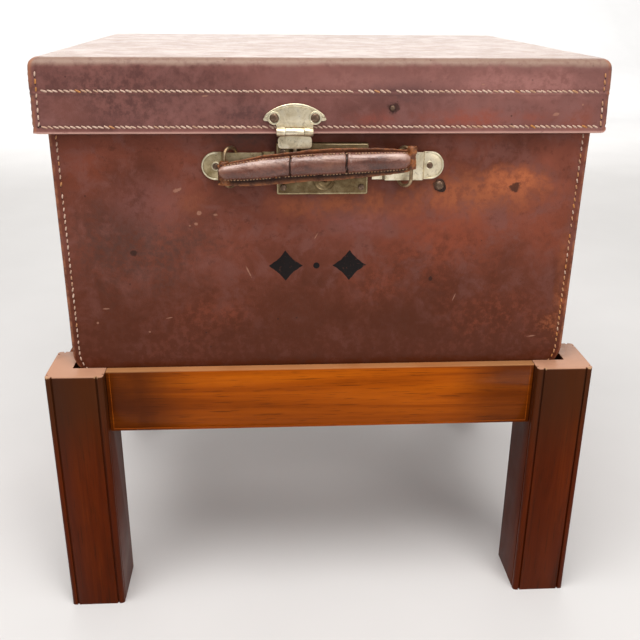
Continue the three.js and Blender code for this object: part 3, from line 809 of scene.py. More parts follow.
def oriented(part, centre, along, out, slant):
    """Turns a part drawn in X (along) and Z (out of the surface) and puts it on the surface."""
    along, out = Vector(along).normalized(), Vector(out).normalized()
    across = out.cross(along)
    turned = along * math.cos(slant) + across * math.sin(slant)
    basis = np.array([turned, out.cross(turned), out])
    vertices, faces = part
    return np.asarray(vertices) @ basis + np.array(centre), faces


class Stitches:
    """Collects threads and their needle holes, and makes one mesh of each."""

    def __init__(self):
        self.threads, self.ages, self.holes = [], [], []

    def row(self, points, out, pitch, slant, size, old=0.15, gaps=0.02):
        """Threads of (length, width, height) along a polyline. old is the share that is orange and worn."""
        length, width, height = size
        points = [Vector(p) for p in points]
        normal = Vector(out).normalized()
        walked = np.concatenate([[0], np.cumsum([(b - a).length for a, b in zip(points, points[1:])])])
        count = int(walked[-1] // pitch)
        start = (walked[-1] - (count - 1) * pitch) / 2

        def place_at(distance):
            return Vector([np.interp(distance, walked, [p[k] for p in points]) for k in range(3)])

        for i in range(count):
            at = start + i * pitch + rng.normal(0, 0.05) * pitch
            place = place_at(at)
            along = (place_at(at + pitch * 0.4) - place_at(at - pitch * 0.4)).normalized()
            scale = 1 + rng.normal(0, 0.07)
            angle = slant + rng.normal(0, 0.08)
            missing = rng.random() < gaps
            age = min(rng.beta(1.3, 5) * 0.7 + (rng.random() < old) * rng.uniform(0.4, 0.8), 1)
            if not missing:
                shape = capsule(length * scale, width * scale, height)
                self.threads.append(oriented(shape, place + normal * height * 0.25, along, normal, angle))
                self.ages += [age] * len(shape[0])
            direction = Matrix.Rotation(angle, 3, normal) @ along
            # The needle hole is a dark disc: painted shade.
            hole_shade = capsule(width * 0.95, width * 0.95, 0.2 * MM, 5, 8)
            self.holes.append(oriented(hole_shade, place - direction * length * 0.56, along, normal, 0))

    def build(self, prefix, body, thread_material, hole_shade_material, slot="case_leather"):
        vertices, faces = merge(self.threads)
        threads = add_piece(f"{prefix}_stitching", vertices, faces, thread_material, body, slot)
        paint(threads, "age", self.ages)
        vertices, faces = merge(self.holes)
        holes = add_piece(f"{prefix}_stitch_holes", vertices, faces, hole_shade_material, body, slot)
        return threads, holes


CASE_SIDES = {
    "front": ((1, 0, 0), (0, -1, 0)),
    "right": ((0, 1, 0), (1, 0, 0)),
    "back": ((-1, 0, 0), (0, 1, 0)),
    "left": ((0, -1, 0), (-1, 0, 0)),
}


def on_case(side, along, z, halves, inset, relief, distance):
    """The point of a case's skin at a distance along one side, just under its surface."""
    direction, out = (Vector(v) for v in CASE_SIDES[side])
    reach = (halves[1] if side in ("front", "back") else halves[0]) - inset
    flat = direction * along + out * reach
    push = relief(flat.x, flat.y, z, (out.x, out.y), distance)
    point = flat + out * push
    return Vector((point.x, point.y, z))


def add_case_stitching(materials):
    lid, body = Stitches(), Stitches()
    rope, upright = (6.0 * MM, 1.5 * MM, 0.6 * MM), (4.4 * MM, 1.4 * MM, 0.7 * MM)
    for side, (_, out) in CASE_SIDES.items():
        wide = side in ("front", "back")
        half = LID_X if wide else LID_Y
        for z in LID_ROWS.values():
            end = half - lid_inset(z) - SEAM_INSET - 2.2 * MM
            points = [
                on_case(side, a, z, (LID_X, LID_Y), lid_inset(z), lid_relief, 40 * MM)
                for a in np.linspace(-end, end, 60)
            ]
            lid.row(points, out, 4.4 * MM, math.radians(-23), rope, 0.04)
        for hand in (-1, 1):
            worn = 0.75 if side == "front" and hand > 0 else 0.2
            points = []
            for z in np.linspace(LID_BOTTOM + 4 * MM, LID_TOP - LID_ROUND - 1 * MM, 12):
                along = hand * (half - lid_inset(z) - SEAM_INSET)
                points.append(on_case(side, along, z, (LID_X, LID_Y), lid_inset(z), lid_relief, SEAM_INSET))
            lid.row(points, out, 5.5 * MM, math.radians(8 * hand), upright, worn)
            reach = BODY_X if wide else BODY_Y
            points = []
            for z in np.linspace(BODY_BOTTOM + 7 * MM, LID_BOTTOM + 12 * MM, 60):
                insets = (foot_inset(z, FOOT_X), foot_inset(z, FOOT_Y))
                along = hand * (reach - insets[0 if wide else 1] - SEAM_INSET)
                inset = insets[1 if wide else 0]
                points.append(on_case(side, along, z, (BODY_X, BODY_Y), inset, body_relief, SEAM_INSET))
            points = [Vector(p) for p in lean(points)]
            body.row(points, out, 5.5 * MM, math.radians(14 * hand), upright, worn)
    lid.build("lid", "lid", materials["thread"], materials["hole_shade"])
    body.build("body", "box", materials["thread"], materials["hole_shade"])


# ------------------------------------------------------------------ painted ornament


def add_ornament(materials):
    """Two lozenges and a dot in old black paint on the front, following the hide."""
    middle_z = 0.3435

    def slab(outline):
        rings = []
        for grow, depth in ((1.0, -0.3 * MM), (1.0, 0.04 * MM), (0.97, 0.10 * MM)):
            cx = sum(x for x, _ in outline) / len(outline)
            ring = []
            for x, z in outline:
                x, z = cx + (x - cx) * grow, middle_z + (z - middle_z) * grow
                skin = BODY_FRONT - body_relief(x, BODY_FRONT, z, (0, -1), 60 * MM)
                ring.append((x, skin - depth, z))
            rings.append(ring)
        return loft(rings)

    def lozenge(x, half_width, half_height):
        corners = [(half_width, 0), (0, half_height), (-half_width, 0), (0, -half_height)]
        outline = []
        for (x0, z0), (x1, z1) in zip(corners, corners[1:] + corners[:1]):
            for t in np.linspace(0, 1, 14, endpoint=False):
                hollow = 1 - 0.13 * math.sin(math.pi * t)
                ragged = 1 + 0.05 * noise.noise(Vector((x * 90 + t * 6, x0 * 300, z0 * 300)))
                u, v = (x0 + (x1 - x0) * t) * hollow * ragged, (z0 + (z1 - z0) * t) * hollow * ragged
                outline.append((x + u, middle_z + v))
        return slab(outline)

    def dot(x, radius):
        angles = np.linspace(0, 2 * math.pi, 20, endpoint=False)
        return slab([(x + radius * math.cos(a), middle_z + radius * math.sin(a)) for a in angles])

    parts = [lozenge(-33 * MM, 15 * MM, 14 * MM), dot(-6 * MM, 2.8 * MM), lozenge(23 * MM, 15 * MM, 14 * MM)]
    vertices, faces = merge(parts)
    add_piece("painted_ornament", vertices, faces, materials["paint"], "box", "case_leather")


# ------------------------------------------------------------------ metal fittings

FRONT = (0, -1, 0)
BRACKET_Z = (low("bracket_right").z + high("bracket_right").z) / 2
BRACKET_RADIUS = (high("bracket_right").z - low("bracket_right").z) / 2


def moulding(path, y, width, height):
    """A half-round raised edge along an open path of (x, z) points, standing out from a plate at y."""
    path = [Vector((px, 0, pz)) for px, pz in path]
    section = [(-0.5, -0.2), (-0.5, 0.45), (-0.28, 0.9), (0, 1.0), (0.28, 0.9), (0.5, 0.45), (0.5, -0.2)]
    rings = []
    for i, point in enumerate(path):
        ahead, behind = path[min(i + 1, len(path) - 1)], path[max(i - 1, 0)]
        along = (ahead - behind).normalized()
        side = along.cross(Vector((0, 1, 0)))
        shrink = 0.4 if i in (0, len(path) - 1) else 1
        ring = []
        for across, rise in section:
            place = point + side * across * width * shrink
            ring.append((place.x, y - rise * height * shrink, place.z))
        rings.append(ring)
    return loft(rings)


def arc(cx, cz, radius, start, end, steps=24):
    angles = np.radians(np.linspace(start, end, steps))
    return [(cx + radius * math.cos(a), cz + radius * math.sin(a)) for a in angles]


def rounded_path(corners, radius):
    """An open path through corners, each inner one rounded."""
    path = [corners[0]]
    for before, corner, after in zip(corners, corners[1:], corners[2:]):
        here = Vector(corner)
        into = (here - Vector(before)).normalized() * radius
        out = (Vector(after) - here).normalized() * radius
        for t in np.linspace(0, 1, 6):
            point = (here - into) * (1 - t) ** 2 + here * 2 * t * (1 - t) + (here + out) * t**2
            path.append((point.x, point.y))
    return [*path, corners[-1]]


def add_raised_edges(materials):
    """The raised rims of the hasp plate, the lock plate and the bracket ends."""
    bright = materials["bright_brass"]
    plate_low, plate_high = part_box("hasp_plate")
    middle = (plate_low.x + plate_high.x) / 2
    half = (plate_high.x - plate_low.x) / 2 - 1.3 * MM
    tips = 472.4 * MM
    rise = plate_high.z - 1.3 * MM - tips
    radius = (half**2 + rise**2) / (2 * rise)
    reach = math.degrees(math.asin(half / radius))
    crown = arc(middle, tips + rise - radius, radius, 90 + reach, 90 - reach, 40)
    face = low("lid_left_leather").y - 1.9 * MM
    add_piece("hasp_rim", *moulding(crown, face, 2.5 * MM, 0.55 * MM), bright, "lid", "pale_brass")

    plate_low, plate_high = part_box("lock_plate")
    notch = low("hasp_tongue").x + 20 * MM
    in_x, in_z = 0.8 * MM, 0.8 * MM
    left, right = plate_low.x + in_x, plate_high.x - in_x
    corners = [(notch, plate_high.z - in_z), (right, plate_high.z - in_z), (right, plate_low.z + in_z)]
    corners += [(left, plate_low.z + in_z), (left, plate_high.z - in_z)]
    corners += [(left + 4 * MM, plate_high.z - in_z)]
    path = rounded_path(corners, 1.2 * MM)
    rim = moulding(path, plate_low.y, 1.0 * MM, 0.25 * MM)
    add_piece("lock_rim", *rim, materials["olive_brass"], "box", "pale_brass")

    for side, name in ((-1, "left"), (1, "right")):
        bracket_low, bracket_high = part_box(f"bracket_{name}")
        outer = bracket_high.x if side > 0 else bracket_low.x
        foot_face = low("bracket_right_outer_rivet").y + 1.2 * MM
        radius = BRACKET_RADIUS - 0.9 * MM
        centre = outer - side * BRACKET_RADIUS
        turn = (90, -90) if side > 0 else (90, 270)
        path = [(centre - side * 4 * MM, BRACKET_Z + radius), *arc(centre, BRACKET_Z, radius, *turn)]
        path.append((centre - side * 4 * MM, BRACKET_Z - radius))
        rim = moulding(path, foot_face, 1.2 * MM, 0.25 * MM)
        add_piece(f"bracket_rim_{name}", *rim, bright, "box", "pale_brass")


def rivet_profile(radius, height, flatness=0.85):
    """A slightly flattened dome with a narrow rim."""
    profile = [(radius * 0.02, 0), (radius, 0), (radius * 1.02, height * 0.12), (radius * 0.97, height * 0.3)]
    for a in np.linspace(0.35, math.pi / 2 - 0.05, 7):
        profile.append((radius * 0.97 * math.cos(a) ** flatness, height * (0.3 + 0.7 * math.sin(a))))
    return profile


def collar_profile(inner, outer, height):
    """A flat raised ring that closes on itself, for the seat of a rivet."""
    outside = [(inner, 0), (outer, 0), (outer, height * 0.6), (outer * 0.94, height)]
    return outside + [(inner * 1.05, height), (inner, height * 0.5)]


def closed_faces(count, sides):
    """The faces of a closed skin of count rings, the last joined to the first."""
    faces = []
    for i in range(count):
        for j in range(sides):
            k, n = (j + 1) % sides, (i + 1) % count
            faces.append((i * sides + j, i * sides + k, n * sides + k, n * sides + j))
    return faces


def closed_lathe(profile, centre, sides=32):
    """A ring turned from a closed profile, facing the front."""
    vertices = []
    for radius, forward in profile:
        for j in range(sides):
            angle = 2 * math.pi * j / sides
            x = centre[0] + radius * math.cos(angle)
            vertices.append((x, centre[1] - forward, centre[2] + radius * math.sin(angle)))
    return np.array(vertices), closed_faces(len(profile), sides)


LID_STUD_SIZE = 0.62  # the size of the lid stud's head, as a share of the CAD one's


def add_rivets(materials):
    """Domed heads in place of the rivets and studs, with raised seats under some of them."""
    for node in list(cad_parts):
        if "rivet" not in node and "stud" not in node:
            continue
        corner_low, corner_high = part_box(node)
        radius = (corner_high.x - corner_low.x) / 2
        height = corner_high.y - corner_low.y
        centre = ((corner_low.x + corner_high.x) / 2, corner_high.y, (corner_low.z + corner_high.z) / 2)
        body = "lid" if node.startswith(("hasp", "lid")) else "box"
        size = LID_STUD_SIZE if node == "lid_stud" else 1.0
        vertices, faces = lathe(rivet_profile(radius * size, height), centre, FRONT)
        piece = add_piece(f"{node}_head", vertices, faces, materials["dark_steel"], body, "dark_steel")
        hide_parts(node)
        if "outer" in node or "hasp" in node:
            seat = closed_lathe(collar_profile(radius * 0.98, radius * 1.45, 0.4 * MM), centre)
            add_piece(f"{node}_seat", *seat, materials["bright_brass"], body, "pale_brass")
    add_torn_washer(materials)


def add_torn_washer(materials):
    """The ragged leather washer left under the stud on the front of the body."""
    stud_low, stud_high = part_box("body_stud")
    cx, cz = (stud_low.x + stud_high.x) / 2, (stud_low.z + stud_high.z) / 2
    rings = []
    for depth, grow in ((0.5 * MM, 1.0), (-0.35 * MM, 1.0), (-0.5 * MM, 0.93)):
        ring = []
        for a in np.linspace(0, 2 * math.pi, 36, endpoint=False):
            frayed = noise.noise(Vector((math.cos(a) * 3, math.sin(a) * 3, 0.4)))
            torn = 1.3 * max(math.cos(a + 0.75), 0) ** 8 + 0.5 * frayed
            radius = (5.2 + torn * 1.6) * MM * grow
            ring.append((cx + radius * math.cos(a), stud_high.y + depth, cz + radius * math.sin(a)))
        rings.append(ring)
    piece = add_piece("body_stud_washer", *loft(rings), materials["grimy_leather"], "box", "case_leather")
    paint(piece, "wear", [0.25] * len(piece.data.vertices))
    paint(piece, "lip", [0.0] * len(piece.data.vertices))


def add_boss(materials):
    """The round escutcheon: stepped rings about a keyhole."""
    boss_low, boss_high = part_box("keyhole_boss")
    centre = ((boss_low.x + boss_high.x) / 2, boss_high.y, (boss_low.z + boss_high.z) / 2)
    radius = (boss_high.x - boss_low.x) / 2
    steps = [
        (1.5, -1.4), (9.6, -0.1), (9.6, 0.7), (9.2, 1.15), (8.6, 1.2), (8.2, 0.8), (7.0, 0.75),
        (6.6, 1.35), (6.2, 1.55), (5.6, 1.5), (5.1, 1.05), (4.2, 1.05), (3.8, 1.5), (2.4, 1.6),
        (1.8, 1.45), (1.5, 1.0),
    ]
    profile = [(r / 9.6 * radius, depth * MM) for r, depth in steps]
    turned = closed_lathe(profile, centre, 48)
    piece = add_piece("keyhole_rings", *turned, materials["lock_brass"], "box", "pale_brass")
    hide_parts("keyhole_boss")
    # A dark plug inside the keyhole: painted shade.
    plug_steps = [(0.1, -1.3), (1.7, -1.3), (1.7, -0.9), (0.1, -0.8)]
    plug = lathe([(r * MM, depth * MM) for r, depth in plug_steps], centre, FRONT)
    add_piece("keyhole_shade", *plug, materials["hole_shade"], "box", "dark_steel")


RING_WIRE = 3.0 * MM


def ring_path(name, side):
    """The centre line of a handle ring: an upright rounded link turned about its front run."""
    node_low, node_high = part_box(f"handle_ring_{name}")
    half_height = (node_high.z - node_low.z) / 2 - RING_WIRE / 2
    depth = 14.7 * MM
    radius = 6.8 * MM
    yaw = math.radians(40)
    inward = Vector((-side * math.sin(yaw), math.cos(yaw), 0))
    pivot = Vector((PIVOTS[name].x, PIVOTS[name].y, (node_low.z + node_high.z) / 2))
    corners = [
        (depth - radius, half_height - radius, 0), (radius, half_height - radius, 90),
        (radius, radius - half_height, 180), (depth - radius, radius - half_height, 270),
    ]
    points = []
    for across, up, start in corners:
        for angle in np.radians(np.linspace(start, start + 90, 10)):
            offset = across + radius * math.cos(angle)
            points.append(pivot + inward * offset + Vector((0, 0, up + radius * math.sin(angle))))
    return points, inward.cross(Vector((0, 0, 1)))


def add_rings(materials):
    """The round wire rings that join the handle to its brackets."""
    brass = materials["ring_brass"]
    for side, name in ((-1, "left"), (1, "right")):
        path, normal = ring_path(name, side)
        vertices, faces = tube(path, RING_WIRE / 2, normal)
        ring = add_piece(f"ring_{name}_wire", vertices, faces, brass, f"ring_{name}", "pale_brass")
        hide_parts(f"handle_ring_{name}")


def add_screws(materials):
    """Three screws through each hinge leaf."""
    screw = [(0.1, 0), (3, 0), (3.1, 0.5), (2.4, 0.95), (0.1, 1.1)]
    profile = [(r * MM, h * MM) for r, h in screw]
    for leaf, body in (("lid", "lid"), ("body", "box")):
        for side in ("left", "right"):
            node_low, node_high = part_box(f"hinge_{leaf}_leaf_{side}")
            face_y = node_high.y if leaf == "lid" else node_low.y + 1.5 * MM
            centre_x = (node_low.x + node_high.x) / 2
            end = node_high.z - 9 * MM if leaf == "lid" else node_low.z + 9 * MM
            toward_axis = -4 * MM if leaf == "lid" else 4 * MM
            for number, dx in enumerate((-18 * MM, 0, 18 * MM)):
                place = (centre_x + dx, face_y - 0.2 * MM, end + (toward_axis if number == 1 else 0))
                vertices, faces = lathe(profile, place, (0, 1, 0), 24)
                name = f"hinge_{leaf}_{side}_screw_{number}"
                add_piece(name, vertices, faces, materials["dark_steel"], body, "dark_steel")


def add_metal(materials):
    """The plates, leaves and pins that keep their CAD shape, with softened edges."""
    for node in ("hasp_plate", "hasp_tongue", "bracket_right"):
        soften(node, materials["brass"], 0.5 * MM)
    soften("bracket_left", materials["olive_brass"], 0.5 * MM)
    for node in ("lock_plate", "lock_case"):
        soften(node, materials["lock_brass"], 0.35 * MM)
    for side in ("left", "right"):
        for leaf in ("lid", "body"):
            soften(f"hinge_{leaf}_leaf_{side}", materials["olive_brass"], 0.35 * MM)
        soften(f"hinge_pin_{side}", materials["dark_steel"], 0.3 * MM)
    for node in ("hasp_pin", "lock_bolt"):
        soften(node, materials["dark_steel"], 0.25 * MM)


# ------------------------------------------------------------------ handle

# along the grip: x, height of its middle and half its height, in millimetres
ROLL_LINE = [
    (-87, 429.9, 5.2), (-81, 429.9, 6.3), (-68, 431.0, 7.5), (-50, 433.0, 8.3), (-30, 434.6, 8.3),
    (-14, 435.8, 8.6), (4, 436.6, 8.9), (18, 437.2, 8.5), (40, 438.0, 8.1), (59, 438.6, 7.4),
    (69, 439.0, 6.6),
]
STRAP_LINE = [
    (-88, 426.5, 8.0), (-72, 427.9, 10.6), (-50, 430.4, 12.4), (-14, 433.9, 12.9), (5, 434.8, 13.2),
    (41, 436.7, 11.8), (60.5, 437.3, 10.0), (72, 438.0, 8.6),
]
ROLL_START, ROLL_END = -87 * MM, 69 * MM
STRAP_START, STRAP_END = -88 * MM, 72 * MM
ROLL_HALF_HEIGHT = 8.6 * MM  # near the middle of the grip
CRACKS = {
    "left": high("handle_left").x + 0.3 * MM,
    "right": low("handle_right").x - 0.3 * MM,
}
HANDLE_MIDDLE = (CRACKS["left"] + CRACKS["right"]) / 2
ROLL_Y = (low("handle_middle").y + high("handle_middle").y) / 2
ROLL_HALF_DEPTH = (high("handle_middle").y - low("handle_middle").y) / 2
STRAP_Y = -202.4 * MM
PIVOTS = {
    "left": Vector((low("handle_left").x + 5.5 * MM, -203.5 * MM, 0)),
    "right": Vector((high("handle_right").x - 5.5 * MM, -203.5 * MM, 0)),
}
COLLARS = {"left": (428.5 * MM, 9.5 * MM), "right": (440.3 * MM, 9.3 * MM)}


def along(line, x):
    """Height of the middle and half height of a line of the handle at x, in metres."""
    places = [row[0] * MM for row in line]
    return [float(np.interp(x, places, [row[k] * MM for row in line])) for k in (1, 2)]


def crack_shape(x, angle):
    """Pinch of the roll at its two cracks, which run a little crooked round it, and the painted shade in
    them.
    """
    pinch, dark = 0.0, 0.0
    for name, crack in CRACKS.items():
        width = (0.55 if name == "left" else 0.8) * MM
        crooked = 1.1 * MM * noise.noise(Vector((math.cos(angle) * 1.6, math.sin(angle) * 1.6, crack * 90)))
        gap = (x - crack - crooked) / width
        lip = (abs(x - crack - crooked) - 2.2 * MM) / (1.3 * MM)
        pinch += -1.5 * MM * math.exp(-gap * gap) + 0.3 * MM * math.exp(-lip * lip)
        # dark is the painted shade in the crack.
        dark += math.exp(-gap * gap)
    return pinch, min(dark, 1)


def bend(piece):
    """Takes a half of the handle off its body and bakes its place into its mesh."""
    piece.parent = None
    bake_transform(piece)


def roll_half(side, x0, x1, material):
    """One half of the padded roll."""
    fine = np.arange(CRACKS[side] - 4 * MM, CRACKS[side] + 4 * MM, 0.28 * MM)
    places = np.unique(np.round(np.concatenate([np.arange(x0, x1, 1.5 * MM), [x1], fine]), 6))
    sides = 44
    rings, wears, fold_shades, crown_sheens = [], [], [], []
    for x in places:
        middle, half = along(ROLL_LINE, x)
        from_end = x - x0 if side == "left" else x1 - x
        nose = min(0.55 + from_end / (3.5 * MM) * 0.45, 1) if from_end < 3.5 * MM else 1
        ring = []
        for j in range(sides):
            angle = 2 * math.pi * j / sides
            out, up = math.cos(angle), math.sin(angle)
            pinch, dark = crack_shape(x, angle)
            lump = 0.3 * MM * noise.noise(Vector((x * 60, out * 1.2, up * 1.2)))
            lump += 0.12 * MM * noise.noise(Vector((x * 240, out * 3, up * 3)))
            depth = (ROLL_HALF_DEPTH * half / ROLL_HALF_HEIGHT * 0.98 + pinch + lump) * nose
            height = (half + pinch + lump) * nose
            ring.append((x, ROLL_Y - depth * out, middle + height * up))
            near_end = max(1 - (x - ROLL_START) / (7 * MM), 1 - (ROLL_END - x) / (5 * MM), 0)
            patch = math.exp(-(((x - 5 * MM) / (8 * MM)) ** 4)) * max(math.cos(angle - 0.15), 0) ** 3
            wears.append(min(near_end * 0.8 + patch * 0.45 + dark * 0.25, 1))
            # Painted shade in the cracks.
            fold_shades.append(dark)
            # Painted sheen along the crown of the roll.
            crown = max(math.cos(angle - math.radians(44)), 0) ** 10
            crown_sheens.append(crown * (0.55 + 0.45 * noise.noise(Vector((x * 45, 0, 7)))) * (1 - dark))
        rings.append(ring)
    vertices, faces = loft(rings)
    first = len(vertices) - sides if side == "left" else 0
    inner_end = list(range(first, first + sides))
    name = f"handle_roll_{side}"
    piece = add_piece(name, vertices, faces, material, "handle_middle", "handle_leather", [inner_end])
    paint(piece, "wear", wears)
    paint(piece, "fold_shade", fold_shades)
    paint(piece, "crown_sheen", crown_sheens)
    bend(piece)
    return piece


def strap_half(side, x0, x1, material):
    """One half of the leather that the roll is sewn to: a strip with thin, curling, uneven edges."""
    places = np.append(np.arange(x0, x1, 1.4 * MM), x1)
    section = [(0, -1), (0.4, -1), (0.7, -0.98), (0.86, -0.95), (0.96, -0.8)]
    section += [(1.0, -0.3), (1.0, 0.3), (0.95, 0.8), (0.7, 1), (0.3, 1)]
    section += [(-u, -v) for u, v in section]
    rings, wears, fold_shades = [], [], []
    for x in places:
        middle, half = along(STRAP_LINE, x)
        ring = []
        for u, v in section:
            ragged = 0.45 * MM * noise.noise(Vector((x * 110, u * 3, 0.3)))
            ragged += 0.25 * MM * noise.noise(Vector((x * 430, u * 3, 0.8)))
            curl = -1.5 * MM * abs(u) ** 4 + 0.4 * MM * noise.noise(Vector((x * 70, u * 2, 2.2)))
            ring.append((x, STRAP_Y + curl + v * 1.1 * MM, middle + u * (half + ragged)))
            near_end = max(1 - (x - STRAP_START) / (17 * MM), 1 - (STRAP_END - x) / (9 * MM), 0)
            wears.append(min(0.1 + near_end + (0.6 if abs(u) > 0.93 else 0.0), 1))
            # Painted shade: the middle of the strip, behind the roll, is darkened.
            fold_shades.append(0.75 if abs(u) < 0.8 else 0.0)
        rings.append(ring)
    vertices, faces = loft(rings)
    piece = add_piece(f"handle_strap_{side}", vertices, faces, material, "handle_middle", "handle_leather")
    paint(piece, "wear", wears)
    paint(piece, "fold_shade", fold_shades)
    bend(piece)


def end_collar(side, material):
    """The worn leather wrapped round a ring's front run, wrinkled and frayed."""
    centre_z, half = COLLARS[side]
    pivot = PIVOTS[side]
    sides, levels = 32, 22
    outer, inner = 3.7 * MM, 2.0 * MM
    vertices = []
    outside = [(outer, t * half) for t in np.linspace(-1, 1, levels)]
    inside = [(inner, half * 0.98), (inner, -half * 0.98)]
    for radius, height in outside + inside:
        t = height / half
        waist = 1.08 - 0.12 * math.cos(t * 3.0) - 0.22 * t**4
        for j in range(sides):
            angle = 2 * math.pi * j / sides
            place = Vector((math.cos(angle) * 1.5, math.sin(angle) * 1.5, height * 330))
            wrinkle = 1 + 0.26 * noise.noise(place) + 0.14 * noise.noise(place * 2.7)
            reach = radius * (waist * wrinkle if radius == outer else 1)
            lift = 0.8 * MM * noise.noise(Vector((math.cos(angle) * 2, math.sin(angle) * 2, 4))) * abs(t)
            x, y = pivot.x + reach * math.cos(angle), pivot.y + reach * math.sin(angle)
            vertices.append((x, y, centre_z + height + lift))
    skin = np.array(vertices), closed_faces(levels + len(inside), sides)
    piece = add_piece(f"handle_collar_{side}", *skin, material, f"handle_{side}", "handle_leather")
    worn = [0.75 + 0.6 * noise.noise(Vector(vertex) * 300) for vertex in vertices]
    # Painted shade in the wrinkles of the collar.
    crease_shade = [max(-0.1 - 1.2 * noise.noise(Vector(vertex) * 420), 0) for vertex in vertices]
    paint(piece, "wear", np.clip(worn, 0, 1))
    paint(piece, "fold_shade", np.clip(crease_shade, 0, 1))


def handle_stitching(side, x0, x1, materials):
    """Fine close stitches where the roll is sewn to the strap, above and below."""
    stitches = Stitches()
    for up in (1, -1):
        lean_out = math.radians(66)
        points = []
        for x in np.linspace(x0, x1, 40):
            middle, half = along(ROLL_LINE, x)
            depth = ROLL_HALF_DEPTH * half / ROLL_HALF_HEIGHT
            z = middle + up * (half + 0.2 * MM) * math.sin(lean_out)
            points.append((x, ROLL_Y - depth * math.cos(lean_out), z))
        out = (0, -math.cos(lean_out), up * math.sin(lean_out))
        stitches.row(points, out, 2.6 * MM, math.radians(-10), (1.9 * MM, 0.9 * MM, 0.5 * MM), 0.3, 0.08)
    looks = materials["handle_thread"], materials["hole_shade"]
    for piece in stitches.build(f"handle_{side}", "handle_middle", *looks, "handle_leather"):
        bend(piece)


def add_handle(materials):
    """The whole handle, as two halves with one crack each."""
    spans = {"left": (ROLL_START, HANDLE_MIDDLE), "right": (HANDLE_MIDDLE, ROLL_END)}
    for side, (x0, x1) in spans.items():
        roll = roll_half(side, x0, x1, materials["handle"])
        strap = (x0 - 1 * MM, x1) if side == "left" else (x0, x1 + 3 * MM)
        strap_half(side, *strap, materials["handle_strap"])
        handle_stitching(side, x0 + 3 * MM, x1 - 1 * MM, materials)
        end_collar(side, materials["handle_strap"])
        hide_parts(f"handle_{side}", "handle_middle")


# ------------------------------------------------------------------ stand


def add_stand(materials):
    """The legs and rails, which keep their CAD shape, and the raised line on the front and back rails."""
    for name in ("front_left", "front_right", "back_left", "back_right"):
        soften(f"leg_{name}", materials["leg_wood"], 0.9 * MM, 3)
    for name in ("front", "back"):
        soften(f"rail_{name}", materials["rail_wood"], 0.8 * MM, 3)
    for name in ("left", "right"):
        soften(f"rail_{name}", materials["side_rail_wood"], 0.8 * MM, 3)
    add_rail_beads(materials)


def add_rail_beads(materials):
    """The thin raised line along the ends and lower edge of the front and back rails."""
    rail_low, rail_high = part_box("rail_front")
    in_x, in_z = 3.4 * MM, 2.2 * MM
    left, right = rail_low.x + in_x, rail_high.x - in_x
    bottom, top = rail_low.z + in_z, rail_high.z - 1 * MM
    path = rounded_path([(left, top), (left, bottom), (right, bottom), (right, top)], 0.8 * MM)
    vertices, faces = moulding(path, rail_low.y, 0.9 * MM, 0.35 * MM)
    add_piece("rail_front_bead", vertices, faces, materials["bead_wood"], "stand", "stand_wood")
    mirrored = vertices * np.array([-1, -1, 1])
    add_piece("rail_back_bead", mirrored, faces, materials["bead_wood"], "stand", "stand_wood")


# ------------------------------------------------------------------ the scene


def add_floor(material):
    """A pale floor that curves up into a wall far behind the object."""
    profile = [(-8.0, 0.0), (4.2, 0.0), (4.9, 0.12), (5.4, 0.45), (5.7, 1.0), (5.8, 4.5)]
    vertices = [(x, y, z) for y, z in profile for x in (-9, 9)]
    faces = [(2 * i, 2 * i + 1, 2 * i + 3, 2 * i + 2) for i in range(len(profile) - 1)]
    mesh = bpy.data.meshes.new("floor")
    mesh.from_pydata(vertices, [], faces)
    mesh.polygons.foreach_set("use_smooth", [True] * len(faces))
    floor = bpy.data.objects.new("floor", mesh)
    mesh.materials.append(material)
    bpy.context.scene.collection.objects.link(floor)


def front_spot(x, z, width, height, y=BODY_FRONT):
    """Centre and radii of a patch on a front face, from its place and half size in millimetres."""
    return (x * MM, y, z * MM), (width * MM, 12 * MM, height * MM)


def body_patches():
    """Large soft patches of colour on the front of the body."""
    orange, amber, rust = (0.44, 0.125, 0.050), (0.33, 0.095, 0.040), (0.27, 0.062, 0.030)
    grey, foot_dark, plum = (0.085, 0.042, 0.034), (0.045, 0.020, 0.012), (0.24, 0.085, 0.072)
    umber = (0.068, 0.020, 0.008)
    places = [
        (-160, 355, 90, 60, grey, 0.75), (-68, 453, 34, 12, grey, 0.8), (35, 382, 44, 16, plum, 1.0),
        (105, 365, 66, 44, rust, 0.9), (130, 407, 80, 24, amber, 1.0), (166, 419, 34, 17, orange, 1.0),
        (18, 398, 76, 15, amber, 0.9), (150, 295, 62, 30, rust, 0.8), (-88, 300, 54, 20, rust, 0.8),
        (50, 325, 46, 34, rust, 0.6), (-20, 300, 60, 30, umber, 0.6), (-150, 400, 40, 30, plum, 0.5),
        (70, 290, 40, 24, umber, 0.6), (195, 370, 30, 40, rust, 0.6), (-185, 300, 30, 50, umber, 0.5),
        # The first patch below darkens the body along its foot.
        (0, 248, 240, 13, foot_dark, 0.75), (219, 308, 14, 24, orange, 1.0),
        (212, 284, 16, 22, orange, 1.0), (215, 345, 7, 40, amber, 0.6), (-200, 430, 22, 26, rust, 0.35),
        (-112, 400, 18, 12, amber, 0.35),
    ]
    return [(*front_spot(x, z, w, h), colour, amount) for x, z, w, h, colour, amount in places]


